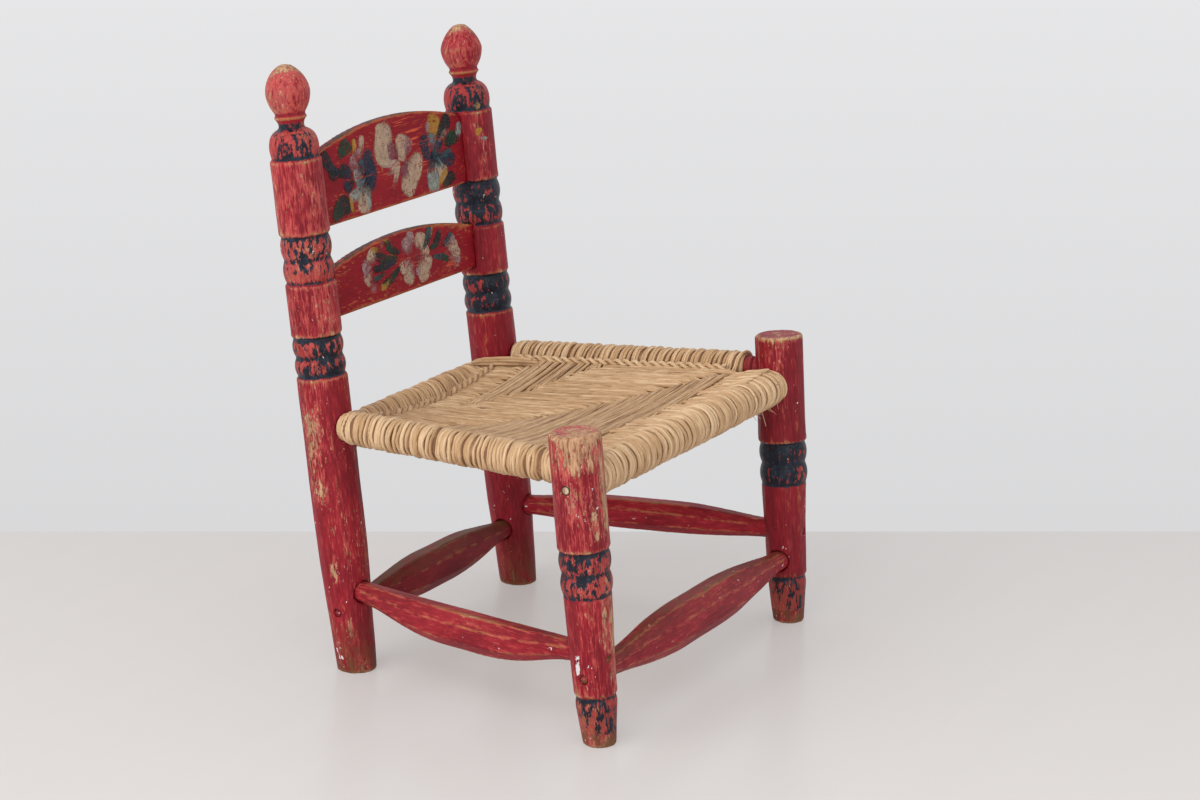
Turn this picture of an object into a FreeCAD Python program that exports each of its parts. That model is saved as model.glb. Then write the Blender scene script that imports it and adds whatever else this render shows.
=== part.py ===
"""Child's ladder-back chair: turned posts, arched slats, shaved stretchers, woven seat.

Sitter's right is -X, the front faces -Y, the floor is z = 0; sizes in mm, angles in degrees.
"""
import FreeCAD
import Part
import Sketcher
import os

doc = FreeCAD.newDocument("kids_chair")
sheet = doc.addObject("Spreadsheet::Sheet", "dims")

SIZES = (
    # Stance: post axes on the floor, and how the posts lean.
    ("rear_spread", "271.4"),
    ("front_spread", "347"),
    ("rear_foot_y", "106.9"),
    ("front_foot_y", "-169.7"),
    ("rear_rake", "6.48"),
    ("front_rake", "4.1"),
    ("front_splay", "1.64"),
    ("foot_allowance", "5"),
    # Rear post, measured up its axis from the floor.
    ("rear_foot_radius", "17.6"),
    ("rear_low_radius", "20.4"),
    ("rear_low_level", "60"),
    ("rear_taper_level", "150"),
    ("rear_taper_swell", "0.5"),
    ("post_radius", "22.7"),
    ("shaft_level", "269.5"),
    ("groove_depth", "2.6"),
    ("arris", "1.4"),
    ("lower_bead", "17.6"),
    ("lower_cylinder", "45"),
    ("upper_bead", "21"),
    ("upper_cylinder", "64.3"),
    ("bead_swell", "2.5"),
    ("urn_height", "18.5"),
    ("urn_swell", "1.6"),
    ("shoulder_height", "7.5"),
    ("shoulder_swell", "1.3"),
    ("neck_radius", "11.4"),
    ("collar_radius", "14.7"),
    ("collar_height", "9.4"),
    ("collar_flare", "1.6"),
    ("pinch_radius", "12.4"),
    ("pinch_height", "3"),
    ("ball_radius", "19.4"),
    ("ball_lower", "19.2"),
    ("right_ball_upper", "22.6"),
    ("left_ball_upper", "21.4"),
    ("ball_lower_swell", "1.7"),
    ("right_ball_upper_swell", "3.3"),
    ("left_ball_upper_swell", "2.2"),
    ("ball_flat_radius", "5.5"),
    ("ball_tip", "1.2"),
    # Front post.
    ("front_height", "273"),
    ("front_foot_radius", "13.7"),
    ("front_bulge_radius", "17.6"),
    ("front_bulge_level", "35"),
    ("front_ankle_level", "43.5"),
    ("front_low_radius", "18.4"),
    ("front_low_level", "46.2"),
    ("front_mid_radius", "20.7"),
    ("front_mid_level", "131.5"),
    ("front_bead", "19.8"),
    ("front_bead_swell", "2.3"),
    ("front_groove_radius", "19.7"),
    ("front_bulge_swell", "0.5"),
    ("front_top_radius", "22.4"),
    ("front_top_ease", "1.8"),
    # Back slats, in the plane of the rear post axes.
    ("slat_thickness", "9"),
    ("slat_tongue", "14"),
    ("crest_bottom", "396.4"),
    ("crest_end", "65"),
    ("crest_rise", "16"),
    ("lower_slat_bottom", "315.2"),
    ("lower_slat_end", "42"),
    ("lower_slat_rise", "14.5"),
    # Round joints: stepped tenons in counterbored mortises, some right through, some blind.
    ("tenon_radius", "3.9"),
    ("tenon_recess", "1.6"),
    ("blind_wall", "8"),
    ("socket_depth", "5"),
    ("socket_ease", "0.5"),
    ("joint_clearance", "0.12"),
    # Seat rails: heights on the post axes.
    ("front_rail_level", "227"),
    ("rear_rail_level", "210"),
    ("side_rail_rear_rise", "14.5"),
    ("side_rail_front_rise", "12.5"),
    ("front_rail_radius", "12.5"),
    ("rail_radius", "10.8"),
    ("rail_end_radius", "9"),
    # Stretchers: heights on the post axes, full sizes at the middle.
    ("stretcher_end_radius", "8.9"),
    ("front_stretcher_level", "61"),
    ("front_stretcher_height", "42"),
    ("front_stretcher_width", "30"),
    ("front_stretcher_drop", "1"),
    ("rear_stretcher_level", "56"),
    ("rear_stretcher_height", "38"),
    ("rear_stretcher_width", "28"),
    ("rear_stretcher_drop", "1"),
    ("right_stretcher_rear_level", "74"),
    ("right_stretcher_front_level", "78"),
    ("right_stretcher_height", "33.5"),
    ("right_stretcher_width", "26"),
    ("right_stretcher_drop", "9"),
    ("left_stretcher_rear_level", "78"),
    ("left_stretcher_front_level", "87"),
    ("left_stretcher_height", "29"),
    ("left_stretcher_width", "25"),
    ("left_stretcher_drop", "-1.5"),
    ("facet_share", "0.44"),
    ("quarter_share", "0.25"),
    ("quarter_swell_share", "0.78"),
    # Woven seat: cord wound on the rails, and the two dished layers between them.
    ("wrap_cord", "4"),
    ("front_wrap_cord", "4.6"),
    ("wrap_end_gap", "3.5"),
    ("left_wrap_front_gap", "13"),
    ("wrap_ease", "2"),
    ("wrap_ease_swell", "0.5"),
    ("cord_gap", "0.3"),
    ("layer_thickness", "3.6"),
    ("layer_edge_lift", "5"),
    ("layer_rear_lift", "5"),
    ("layer_front_lift", "9"),
    ("layer_sag", "4.5"),
)

row = 0
for alias, number in SIZES:
    row += 1
    sheet.set("A%d" % row, alias)
    sheet.set("B%d" % row, number)
    sheet.setAlias("B%d" % row, alias)
doc.recompute()

nodes = []


def amount(expression):
    """The number that an expression over the sheet gives now."""
    result = sheet.evalExpression(expression)
    return float(getattr(result, "Value", result))


def new_body(name):
    body = doc.addObject("PartDesign::Body", name)
    body.Label = name
    return body


def draw(body, name, plane, corners, offset=None):
    """A closed sketch, every corner held by expressions.

    A corner is (x, y) or (x, y, sagitta, side); with a sagitta, the edge that leaves the corner
    is an arc that stands off its chord to the left (side 1) or to the right (side -1).
    """
    sketch = body.newObject("Sketcher::SketchObject", name)
    support = [item for item in body.Origin.OriginFeatures if item.Role == plane + "_Plane"][0]
    sketch.AttachmentSupport = (support, [""])
    sketch.MapMode = "FlatFace"
    if offset is not None:
        sketch.setExpression("AttachmentOffset.Base.z", offset)
    spots = [FreeCAD.Vector(amount(corner[0]), amount(corner[1]), 0) for corner in corners]
    count = len(corners)
    ends = []
    for index, corner in enumerate(corners):
        start = spots[index]
        stop = spots[(index + 1) % count]
        if len(corner) == 2:
            edge = sketch.addGeometry(Part.LineSegment(start, stop), False)
            ends.append((edge, 1, 2))
            continue
        chord = stop - start
        left = FreeCAD.Vector(-chord.y, chord.x, 0).normalize()
        middle = (start + stop) / 2 + left * (amount(corner[2]) * corner[3])
        edge = sketch.addGeometry(Part.Arc(start, middle, stop), False)
        if sketch.getPoint(edge, 1).isEqual(start, 1e-4):
            ends.append((edge, 1, 2))
        else:
            ends.append((edge, 2, 1))
    rules = []
    bound = []
    for index, corner in enumerate(corners):
        edge, first, last = ends[index]
        following = ends[(index + 1) % count]
        after = corners[(index + 1) % count]
        rules.append(Sketcher.Constraint("Coincident", edge, last, following[0], following[1]))
        for kind, axis, text in (("DistanceX", -2, corner[0]), ("DistanceY", -1, corner[1])):
            reach = amount(text)
            if abs(reach) < 1e-7:
                rules.append(Sketcher.Constraint("PointOnObject", edge, first, axis))
            elif reach > 0:
                bound.append((len(rules), text))
                rules.append(Sketcher.Constraint(kind, -1, 1, edge, first, reach))
            else:
                bound.append((len(rules), "-(" + text + ")"))
                rules.append(Sketcher.Constraint(kind, edge, first, -1, 1, -reach))
        if len(corner) == 4:
            wide = "((%s) - (%s))" % (after[0], corner[0])
            tall = "((%s) - (%s))" % (after[1], corner[1])
            text = "((%s^2 + %s^2) / 4 + (%s)^2) / (2 * (%s))" % (wide, tall, corner[2], corner[2])
            bound.append((len(rules), text))
            rules.append(Sketcher.Constraint("Radius", edge, amount(text)))
    sketch.addConstraint(rules)
    for index, text in bound:
        sketch.setExpression("Constraints[%d]" % index, text)
    return sketch


def turn(body, name, corners):
    """A lathe-turned solid: the half profile is revolved about the body's Z axis."""
    sketch = draw(body, name + "_profile", "XZ", corners)
    feature = body.newObject("PartDesign::Revolution", name + "_turning")
    feature.Profile = sketch
    feature.ReferenceAxis = (sketch, ["V_Axis"])
    feature.Angle = 360
    return feature


def finish(item, name, placement):
    """Give a sub-part its label and its own placement, and list it for export."""
    item.Label = name
    item.setExpression("Placement", placement)
    nodes.append(item)


SIDES = {"right": "-1", "left": "1"}


def post_place(end, side):
    sign = SIDES[side]
    if end == "rear":
        return ("placement(vector(%s * dims.rear_spread / 2; dims.rear_foot_y; 0);"
                " rotation(0; 0; -dims.rear_rake))" % sign)
    return ("placement(vector(%s * dims.front_spread / 2; dims.front_foot_y; 0);"
            " rotation(0; %s * dims.front_splay; -dims.front_rake))" % (sign, sign))


def axis_point(end, side, level):
    """Where a post's axis stands at a level above the floor: x, y and z expressions."""
    sign = SIDES[side]
    if end == "rear":
        return ("(%s * dims.rear_spread / 2)" % sign,
                "(dims.rear_foot_y + (%s) * tan(dims.rear_rake))" % level,
                "(%s)" % level)
    return ("(%s * (dims.front_spread / 2 + (%s) * tan(dims.front_splay)))" % (sign, level),
            "(dims.front_foot_y + (%s) * tan(dims.front_rake) / cos(dims.front_splay))" % level,
            "(%s)" % level)


def between(start, stop):
    """Span and placement of a rail: local Z runs from start to stop, local X points down."""
    across, back, rise = ["(%s - %s)" % (b, a) for a, b in zip(start, stop)]
    span = "sqrt(%s^2 + %s^2 + %s^2)" % (across, back, rise)
    place = ("placement(vector(%s; %s; %s); rotation(atan2(%s; %s); acos(%s / %s); 0))"
             % (start + (back, across, rise, span)))
    return span, place


SIDE_REAR_LEVEL = "(dims.rear_rail_level + dims.side_rail_rear_rise)"
SIDE_FRONT_LEVEL = "(dims.front_rail_level + dims.side_rail_front_rise)"

# Each horizontal piece: the two posts it joins, its level on each, the radius that the posts have
# there, which sets how deep its shoulders sit, and whether each tenon shows on the far side.
RAILS = {
    "front_seat_rail": (("front", "right"), ("front", "left"),
                        "dims.front_rail_level", "dims.front_rail_level",
                        "dims.front_top_radius", "dims.front_top_radius", "through", "through"),
    "rear_seat_rail": (("rear", "right"), ("rear", "left"),
                       "dims.rear_rail_level", "dims.rear_rail_level",
                       "dims.post_radius", "dims.post_radius", "blind", "blind"),
    "right_seat_rail": (("rear", "right"), ("front", "right"),
                        SIDE_REAR_LEVEL, SIDE_FRONT_LEVEL,
                        "dims.post_radius", "dims.front_top_radius", "blind", "blind"),
    "left_seat_rail": (("rear", "left"), ("front", "left"),
                       SIDE_REAR_LEVEL, SIDE_FRONT_LEVEL,
                       "dims.post_radius", "dims.front_top_radius", "blind", "blind"),
    "front_stretcher": (("front", "right"), ("front", "left"),
                        "dims.front_stretcher_level", "dims.front_stretcher_level",
                        "dims.front_low_radius", "dims.front_low_radius", "through", "through"),
    "rear_stretcher": (("rear", "right"), ("rear", "left"),
                       "dims.rear_stretcher_level", "dims.rear_stretcher_level",
                       "dims.rear_low_radius", "dims.rear_low_radius", "through", "through"),
    "right_stretcher": (("rear", "right"), ("front", "right"),
                        "dims.right_stretcher_rear_level", "dims.right_stretcher_front_level",
                        "dims.rear_low_radius", "dims.front_low_radius", "blind", "through"),
    "left_stretcher": (("rear", "left"), ("front", "left"),
                       "dims.left_stretcher_rear_level", "dims.left_stretcher_front_level",
                       "dims.rear_low_radius", "dims.front_low_radius", "blind", "through"),
}

LINES = {}
SHORT = {"through": "dims.tenon_recess", "blind": "dims.blind_wall"}
PAST = {"through": "dims.foot_allowance", "blind": "dims.joint_clearance"}
for name, (first, second, low, high, near, far, end_a, end_b) in RAILS.items():
    span, place = between(axis_point(first[0], first[1], low), axis_point(second[0], second[1], high))
    tip_a = "(-(%s - %s))" % (near, SHORT[end_a])
    tip_b = "(%s + %s - %s)" % (span, far, SHORT[end_b])
    LINES[name] = {
        "span": span,
        "place": place,
        "posts": (first, second),
        "tip_a": tip_a,
        "tip_b": tip_b,
        "hole_a": "(%s - %s)" % (tip_a, PAST[end_a]),
        "hole_b": "(%s + %s)" % (tip_b, PAST[end_b]),
        "seat_a": "(%s - dims.socket_depth)" % near,
        "seat_b": "(%s - %s + dims.socket_depth)" % (span, far),
        "face_a": near,
        "face_b": "(%s - %s)" % (span, far),
    }


def bore(name, radius, start, stop, place):
    """A cutting cylinder on a rail's line, from start to stop along it."""
    tool = doc.addObject("Part::Cylinder", name)
    tool.setExpression("Radius", radius)
    tool.setExpression("Height", "%s - %s" % (stop, start))
    shift = "placement(vector(0; 0; %s); rotation(0; 0; 0))" % start
    tool.setExpression("Placement", place + " * " + shift)
    return tool


def mortised_post(name, end, side, blank):
    """A turned blank, trimmed level at the floor, with a stepped mortise for every tenon."""
    place = post_place(end, side)
    local = "minvert(" + place + ") * "
    tools = []
    for rail, line in LINES.items():
        if (end, side) not in line["posts"]:
            continue
        holes = "dims.tenon_radius + dims.joint_clearance"
        tools.append(bore(name + "_" + rail + "_hole", holes, line["hole_a"], line["hole_b"],
                          local + line["place"]))
        if rail.endswith("rail"):
            socket = "dims.rail_end_radius + dims.joint_clearance"
        else:
            socket = "dims.stretcher_end_radius / cos(22.5) + dims.socket_ease"
        start = "(%s - dims.joint_clearance)" % line["seat_a"]
        stop = "(%s + dims.joint_clearance)" % line["seat_b"]
        tools.append(bore(name + "_" + rail + "_socket", socket, start, stop, local + line["place"]))
    if end == "rear":
        for slat in ("crest", "lower_slat"):
            slot = doc.addObject("Part::Box", name + "_" + slat + "_slot")
            slot.setExpression("Length", "dims.slat_tongue + dims.post_radius")
            slot.setExpression("Width", "dims.slat_thickness + 2 * dims.joint_clearance")
            slot.setExpression("Height", "dims.%s_end + 2 * dims.joint_clearance" % slat)
            if side == "right":
                start = "dims.post_radius - dims.slat_tongue"
            else:
                start = "-2 * dims.post_radius"
            slot.setExpression("Placement",
                               "placement(vector(%s; -dims.slat_thickness / 2 - dims.joint_clearance;"
                               " dims.%s_bottom - dims.joint_clearance); rotation(0; 0; 0))"
                               % (start, slat))
            tools.append(slot)
    trim = doc.addObject("Part::Box", name + "_floor_trim")
    block = "(4 * dims.post_radius)"
    for edge in ("Length", "Width", "Height"):
        trim.setExpression(edge, block)
    foot = axis_point(end, side, "0")
    trim.setExpression("Placement",
                       local + "placement(vector(%s - %s / 2; %s - %s / 2; -%s); rotation(0; 0; 0))"
                       % (foot[0], block, foot[1], block, block))
    tools.append(trim)
    cutters = doc.addObject("Part::MultiFuse", name + "_mortises")
    cutters.Shapes = tools
    post = doc.addObject("Part::Cut", name)
    post.Base = blank
    post.Tool = cutters
    finish(post, name, place)


# Rear posts: a tapered shaft, two pairs of beads with plain cylinders above them, an urn
# shoulder, a flared collar and a finial that is egg-shaped on the right post and more pointed
# on the left, turned in one piece.
level = {"shaft": "dims.shaft_level"}
level["bead_a"] = level["shaft"] + " + dims.arris"
level["bead_b"] = level["bead_a"] + " + dims.lower_bead"
level["cylinder_a"] = level["bead_b"] + " + dims.lower_bead"
level["cylinder_a_end"] = level["cylinder_a"] + " + dims.arris + dims.lower_cylinder"
level["bead_c"] = level["cylinder_a_end"] + " + dims.arris"
level["bead_d"] = level["bead_c"] + " + dims.upper_bead"
level["cylinder_b"] = level["bead_d"] + " + dims.upper_bead"
level["cylinder_b_end"] = level["cylinder_b"] + " + dims.arris + dims.upper_cylinder"
level["urn"] = level["cylinder_b_end"] + " + dims.arris"
level["shoulder"] = level["urn"] + " + dims.urn_height"
level["neck"] = level["shoulder"] + " + dims.shoulder_height"
level["collar"] = level["neck"] + " + dims.collar_height"
level["pinch"] = level["collar"] + " + dims.pinch_height"
level["ball"] = level["pinch"] + " + dims.ball_lower"
groove = "dims.post_radius - dims.groove_depth"
REAR_PROFILE = (
    ("0", "-dims.foot_allowance"),
    ("dims.rear_foot_radius", "-dims.foot_allowance"),
    ("dims.rear_low_radius", "dims.rear_low_level", "dims.rear_taper_swell", -1),
    ("dims.post_radius", "dims.rear_taper_level"),
    ("dims.post_radius", level["shaft"]),
    (groove, level["bead_a"], "dims.bead_swell", -1),
    (groove, level["bead_b"], "dims.bead_swell", -1),
    (groove, level["cylinder_a"]),
    ("dims.post_radius", level["cylinder_a"] + " + dims.arris"),
    ("dims.post_radius", level["cylinder_a_end"]),
    (groove, level["bead_c"], "dims.bead_swell", -1),
    (groove, level["bead_d"], "dims.bead_swell", -1),
    (groove, level["cylinder_b"]),
    ("dims.post_radius", level["cylinder_b"] + " + dims.arris"),
    ("dims.post_radius", level["cylinder_b_end"]),
    (groove, level["urn"], "dims.urn_swell", -1),
    (groove, level["shoulder"], "dims.shoulder_swell", -1),
    ("dims.neck_radius", level["neck"], "dims.collar_flare", 1),
    ("dims.collar_radius", level["collar"]),
    ("dims.pinch_radius", level["pinch"], "dims.ball_lower_swell", -1),
)
for side in SIDES:
    name = side + "_rear_post"
    blank = new_body(name + "_blank")
    crown = "%s + dims.%s_ball_upper" % (level["ball"], side)
    finial = (
        ("dims.ball_radius", level["ball"], "dims.%s_ball_upper_swell" % side, -1),
        ("dims.ball_flat_radius", crown),
        ("0", crown + " + dims.ball_tip"),
    )
    turn(blank, name, REAR_PROFILE + finial)
    mortised_post(name, "rear", side, blank)

# Front posts: a small bulged foot, a tapered cylinder, a pair of beads and a plain head.
level["front_bead_a"] = "dims.front_mid_level + dims.arris"
level["front_bead_b"] = level["front_bead_a"] + " + dims.front_bead"
level["front_head"] = level["front_bead_b"] + " + dims.front_bead"
FRONT_PROFILE = (
    ("0", "-dims.foot_allowance"),
    ("dims.front_foot_radius", "-dims.foot_allowance"),
    ("dims.front_bulge_radius", "dims.front_bulge_level", "dims.front_bulge_swell", -1),
    ("dims.front_foot_radius + dims.groove_depth", "dims.front_ankle_level"),
    ("dims.front_low_radius", "dims.front_low_level"),
    ("dims.front_mid_radius", "dims.front_mid_level"),
    ("dims.front_groove_radius", level["front_bead_a"], "dims.front_bead_swell", -1),
    ("dims.front_groove_radius", level["front_bead_b"], "dims.front_bead_swell", -1),
    ("dims.front_groove_radius", level["front_head"]),
    ("dims.front_top_radius", level["front_head"] + " + dims.arris"),
    ("dims.front_top_radius", "dims.front_height - dims.front_top_ease"),
    ("dims.front_top_radius - dims.front_top_ease", "dims.front_height"),
    ("0", "dims.front_height"),
)
for side in SIDES:
    name = side + "_front_post"
    blank = new_body(name + "_blank")
    turn(blank, name, FRONT_PROFILE)
    mortised_post(name, "front", side, blank)

# Back slats: flat boards with an arched top edge and tongues let into the rear posts.
for name, key in (("crest_slat", "crest"), ("lower_slat", "lower_slat")):
    slat = new_body(name)
    half = "dims.rear_spread / 2 - dims.post_radius + dims.slat_tongue - dims.joint_clearance"
    shoulder = "dims.rear_spread / 2 - dims.post_radius"
    bottom = "dims.%s_bottom" % key
    top = "dims.%s_bottom + dims.%s_end" % (key, key)
    outline = (
        ("-(%s)" % half, bottom),
        (half, bottom),
        (half, top),
        (shoulder, top, "dims.%s_rise" % key, -1),
        ("-(%s)" % shoulder, top),
        ("-(%s)" % half, top),
    )
    board = slat.newObject("PartDesign::Pad", name + "_board")
    board.Profile = draw(slat, name + "_outline", "XZ", outline, "-dims.slat_thickness / 2")
    board.setExpression("Length", "dims.slat_thickness")
    finish(slat, name, "placement(vector(0; dims.rear_foot_y; 0); rotation(0; 0; -dims.rear_rake))")

# Seat rails: round rods, stepped down to tenons in the posts.
for name, line in LINES.items():
    if not name.endswith("rail"):
        continue
    rail = new_body(name)
    radius = "dims.front_rail_radius" if name.startswith("front") else "dims.rail_radius"
    profile = (
        ("0", line["tip_a"]),
        ("dims.tenon_radius", line["tip_a"]),
        ("dims.tenon_radius", line["seat_a"]),
        ("dims.rail_end_radius", line["seat_a"]),
        ("dims.rail_end_radius", line["face_a"] + " + dims.wrap_end_gap / 2"),
        (radius, line["face_a"] + " + dims.wrap_end_gap"),
        (radius, line["face_b"] + " - dims.wrap_end_gap"),
        ("dims.rail_end_radius", line["face_b"] + " - dims.wrap_end_gap / 2"),
        ("dims.rail_end_radius", line["seat_b"]),
        ("dims.tenon_radius", line["seat_b"]),
        ("dims.tenon_radius", line["tip_b"]),
        ("0", line["tip_b"]),
    )
    turn(rail, name, profile)
    finish(rail, name, line["place"])

# Stretchers: billets shaved to eight sides, thick in the middle, with the same round tenons.
for name, line in LINES.items():
    if name.endswith("rail"):
        continue
    billet = new_body(name)
    core = billet.newObject("PartDesign::AdditiveCylinder", name + "_tenons")
    core.setExpression("Radius", "dims.tenon_radius")
    core.setExpression("Height", "%s - %s" % (line["tip_b"], line["tip_a"]))
    core.setExpression("Placement.Base.z", line["tip_a"])
    sections = []
    quarter = "%s + dims.quarter_share * (%s - %s)" % (line["face_a"], line["face_b"], line["face_a"])
    middle = "(%s + %s) / 2" % (line["face_a"], line["face_b"])
    three = "%s - dims.quarter_share * (%s - %s)" % (line["face_b"], line["face_b"], line["face_a"])
    for station, swell in ((line["seat_a"], "0"), (line["face_a"], "0"),
                           (quarter, "dims.quarter_swell_share"), (middle, "1"),
                           (three, "dims.quarter_swell_share"), (line["face_b"], "0"),
                           (line["seat_b"], "0")):
        end = "dims.stretcher_end_radius"
        tall = "(%s + (dims.%s_height / 2 - %s) * %s)" % (end, name, end, swell)
        wide = "(%s + (dims.%s_width / 2 - %s) * %s)" % (end, name, end, swell)
        drop = "(dims.%s_drop * %s)" % (name, swell)
        corners = []
        for down, out in ((1, "f"), ("f", 1), ("-f", 1), (-1, "f"), (-1, "-f"), ("-f", -1),
                          ("f", -1), (1, "-f")):
            x = "%s * %s + %s" % (str(down).replace("f", "dims.facet_share"), tall, drop)
            y = "%s * %s" % (str(out).replace("f", "dims.facet_share"), wide)
            corners.append((x, y))
        sections.append(draw(billet, "%s_section_%d" % (name, len(sections)), "XY", corners, station))
    shave = billet.newObject("PartDesign::AdditiveLoft", name + "_shaving")
    shave.Profile = sections[0]
    shave.Sections = sections[1:]
    finish(billet, name, line["place"])

# Cord wound on the seat rails, as a sleeve with eased ends.
for name in ("front", "rear", "right", "left"):
    line = LINES[name + "_seat_rail"]
    wrap = new_body(name + "_rail_wrap")
    if name == "front":
        bore_radius = "dims.front_rail_radius + dims.cord_gap"
        outer = "dims.front_rail_radius + dims.cord_gap + dims.front_wrap_cord"
    else:
        bore_radius = "dims.rail_radius + dims.cord_gap"
        outer = "dims.rail_radius + dims.cord_gap + dims.wrap_cord"
    start = line["face_a"] + " + dims.wrap_end_gap"
    stop = line["face_b"] + " - dims.wrap_end_gap"
    if name == "left":
        stop = line["face_b"] + " - dims.left_wrap_front_gap"
    profile = (
        (bore_radius, start),
        (outer + " - dims.wrap_ease", start, "dims.wrap_ease_swell", -1),
        (outer, start + " + dims.wrap_ease"),
        (outer, stop + " - dims.wrap_ease", "dims.wrap_ease_swell", -1),
        (outer + " - dims.wrap_ease", stop),
        (bore_radius, stop),
    )
    turn(wrap, name + "_rail_wrap", profile)
    finish(wrap, name + "_rail_wrap", line["place"])

# Woven seat between the rolls: the front-to-back cords over the side-to-side cords, each a
# dished layer, notched round the posts.
rear_y = axis_point("rear", "left", "dims.rear_rail_level")[1]
front_y = axis_point("front", "left", "dims.front_rail_level")[1]
side_rear = axis_point("rear", "left", SIDE_REAR_LEVEL)
side_front = axis_point("front", "left", SIDE_FRONT_LEVEL)
roll = "(dims.rail_radius + dims.cord_gap + dims.wrap_cord)"
front_roll = "(dims.front_rail_radius + dims.cord_gap + dims.front_wrap_cord)"
seat_place = "placement(vector(0; %s; dims.rear_rail_level); rotation(0; 0; 0))" % rear_y
seat_depth = "(%s - %s)" % (rear_y, front_y)
for name, layer in (("seat_warp", "0"), ("seat_weft", "1")):
    sheet_body = new_body(name + "_sheet")
    sink = "(%s * (dims.layer_thickness + 2 * dims.cord_gap))" % layer
    middle = "((%s - %s - %s) / 2 + %s)" % (seat_depth, front_roll, roll, roll)
    stations = (
        (roll + " + dims.cord_gap", "dims.layer_rear_lift"),
        (middle, "(dims.layer_rear_lift + dims.front_rail_level - dims.rear_rail_level"
                 " + dims.layer_front_lift) / 2 - dims.layer_sag"),
        ("%s - %s - dims.cord_gap" % (seat_depth, front_roll),
         "dims.front_rail_level - dims.rear_rail_level + dims.layer_front_lift"),
    )
    sections = []
    for ahead, dip in stations:
        share = "((%s - %s + %s) / (%s - %s))" % (side_rear[1], rear_y, ahead,
                                                  side_rear[1], side_front[1])
        axis_x = "(%s + (%s - %s) * %s)" % (side_rear[0], side_front[0], side_rear[0], share)
        axis_z = "(%s + (%s - %s) * %s)" % (side_rear[2], side_front[2], side_rear[2], share)
        half = "(%s - %s - 2 * dims.cord_gap)" % (axis_x, roll)
        top = "(%s + dims.layer_edge_lift - dims.rear_rail_level - %s)" % (axis_z, sink)
        sag = "(%s - (%s) + %s)" % (top, dip, sink)
        corners = (
            ("-" + half, top + " - dims.layer_thickness", sag, -1),
            (half, top + " - dims.layer_thickness"),
            (half, top, sag, 1),
            ("-" + half, top),
        )
        sections.append(draw(sheet_body, "%s_section_%d" % (name, len(sections)), "XZ", corners,
                             ahead))
    layer_loft = sheet_body.newObject("PartDesign::AdditiveLoft", name + "_loft")
    layer_loft.Profile = sections[0]
    layer_loft.Sections = sections[1:]
    notches = []
    for end in ("rear", "front"):
        for side in SIDES:
            notch = doc.addObject("Part::Cylinder", "%s_%s_%s_notch" % (name, end, side))
            notch.setExpression("Radius", "dims.post_radius + 2 * dims.cord_gap")
            notch.setExpression("Height", "dims.front_height")
            notch.setExpression("Placement", "minvert(%s) * %s" % (seat_place, post_place(end, side)))
            notches.append(notch)
    corners_tool = doc.addObject("Part::MultiFuse", name + "_notches")
    corners_tool.Shapes = notches
    cords = doc.addObject("Part::Cut", name)
    cords.Base = sheet_body
    cords.Tool = corners_tool
    finish(cords, name, seat_place)

doc.recompute()

for item in doc.Objects:
    if "Invalid" in item.State or "Error" in item.State:
        raise RuntimeError("%s did not build: %s" % (item.Name, item.State))
for item in nodes:
    if item.Shape.isNull() or not item.Shape.isValid():
        raise RuntimeError("%s has no valid shape" % item.Label)

os.makedirs("parts", exist_ok=True)
for item in nodes:
    item.Shape.exportStep("parts/" + item.Label + ".step")
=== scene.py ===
import math
import random
import bmesh
import bpy
import numpy as np
from mathutils import Matrix, Vector, noise
from mathutils.bvhtree import BVHTree


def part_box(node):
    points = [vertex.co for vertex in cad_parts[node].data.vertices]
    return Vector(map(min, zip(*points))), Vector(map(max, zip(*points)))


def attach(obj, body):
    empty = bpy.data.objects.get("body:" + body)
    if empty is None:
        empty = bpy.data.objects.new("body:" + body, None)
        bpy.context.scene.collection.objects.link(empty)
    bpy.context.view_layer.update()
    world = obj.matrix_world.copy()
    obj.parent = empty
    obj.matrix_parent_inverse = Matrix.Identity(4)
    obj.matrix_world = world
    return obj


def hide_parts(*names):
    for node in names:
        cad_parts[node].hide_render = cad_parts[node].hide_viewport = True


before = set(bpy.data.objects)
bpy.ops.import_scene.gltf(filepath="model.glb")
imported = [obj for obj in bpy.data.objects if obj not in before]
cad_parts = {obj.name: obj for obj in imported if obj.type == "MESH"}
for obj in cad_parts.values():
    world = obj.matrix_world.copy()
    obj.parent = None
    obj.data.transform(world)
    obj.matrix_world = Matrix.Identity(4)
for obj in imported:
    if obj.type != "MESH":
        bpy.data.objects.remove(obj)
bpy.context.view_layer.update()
scene = bpy.context.scene
scene.view_settings.view_transform = "Standard"

# The camera: a long lens in front of the chair and to its right, a little above the finials.
# The table's glow and the wall are laid out along its level view.
CAMERA_PLACE = Vector((-2.1425, -1.3420, 0.9604))
CAMERA_AHEAD = Vector((0.82565, 0.49150, -0.27700)).normalized()
CAMERA_UP = Vector((0.23802, 0.14169, 0.96087))
CAMERA_LENS = 87.876
CAMERA_SENSOR = 36.0
camera_data = bpy.data.cameras.new("camera")
camera_data.sensor_width = CAMERA_SENSOR
camera_data.sensor_fit = "HORIZONTAL"
camera_data.lens = CAMERA_LENS
camera = bpy.data.objects.new("camera", camera_data)
scene.collection.objects.link(camera)
across = CAMERA_AHEAD.cross(CAMERA_UP).normalized()
upright = across.cross(CAMERA_AHEAD)
camera.matrix_world = Matrix.Translation(CAMERA_PLACE) @ Matrix(
    (across, upright, -CAMERA_AHEAD)).transposed().to_4x4()
scene.camera = camera

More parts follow.
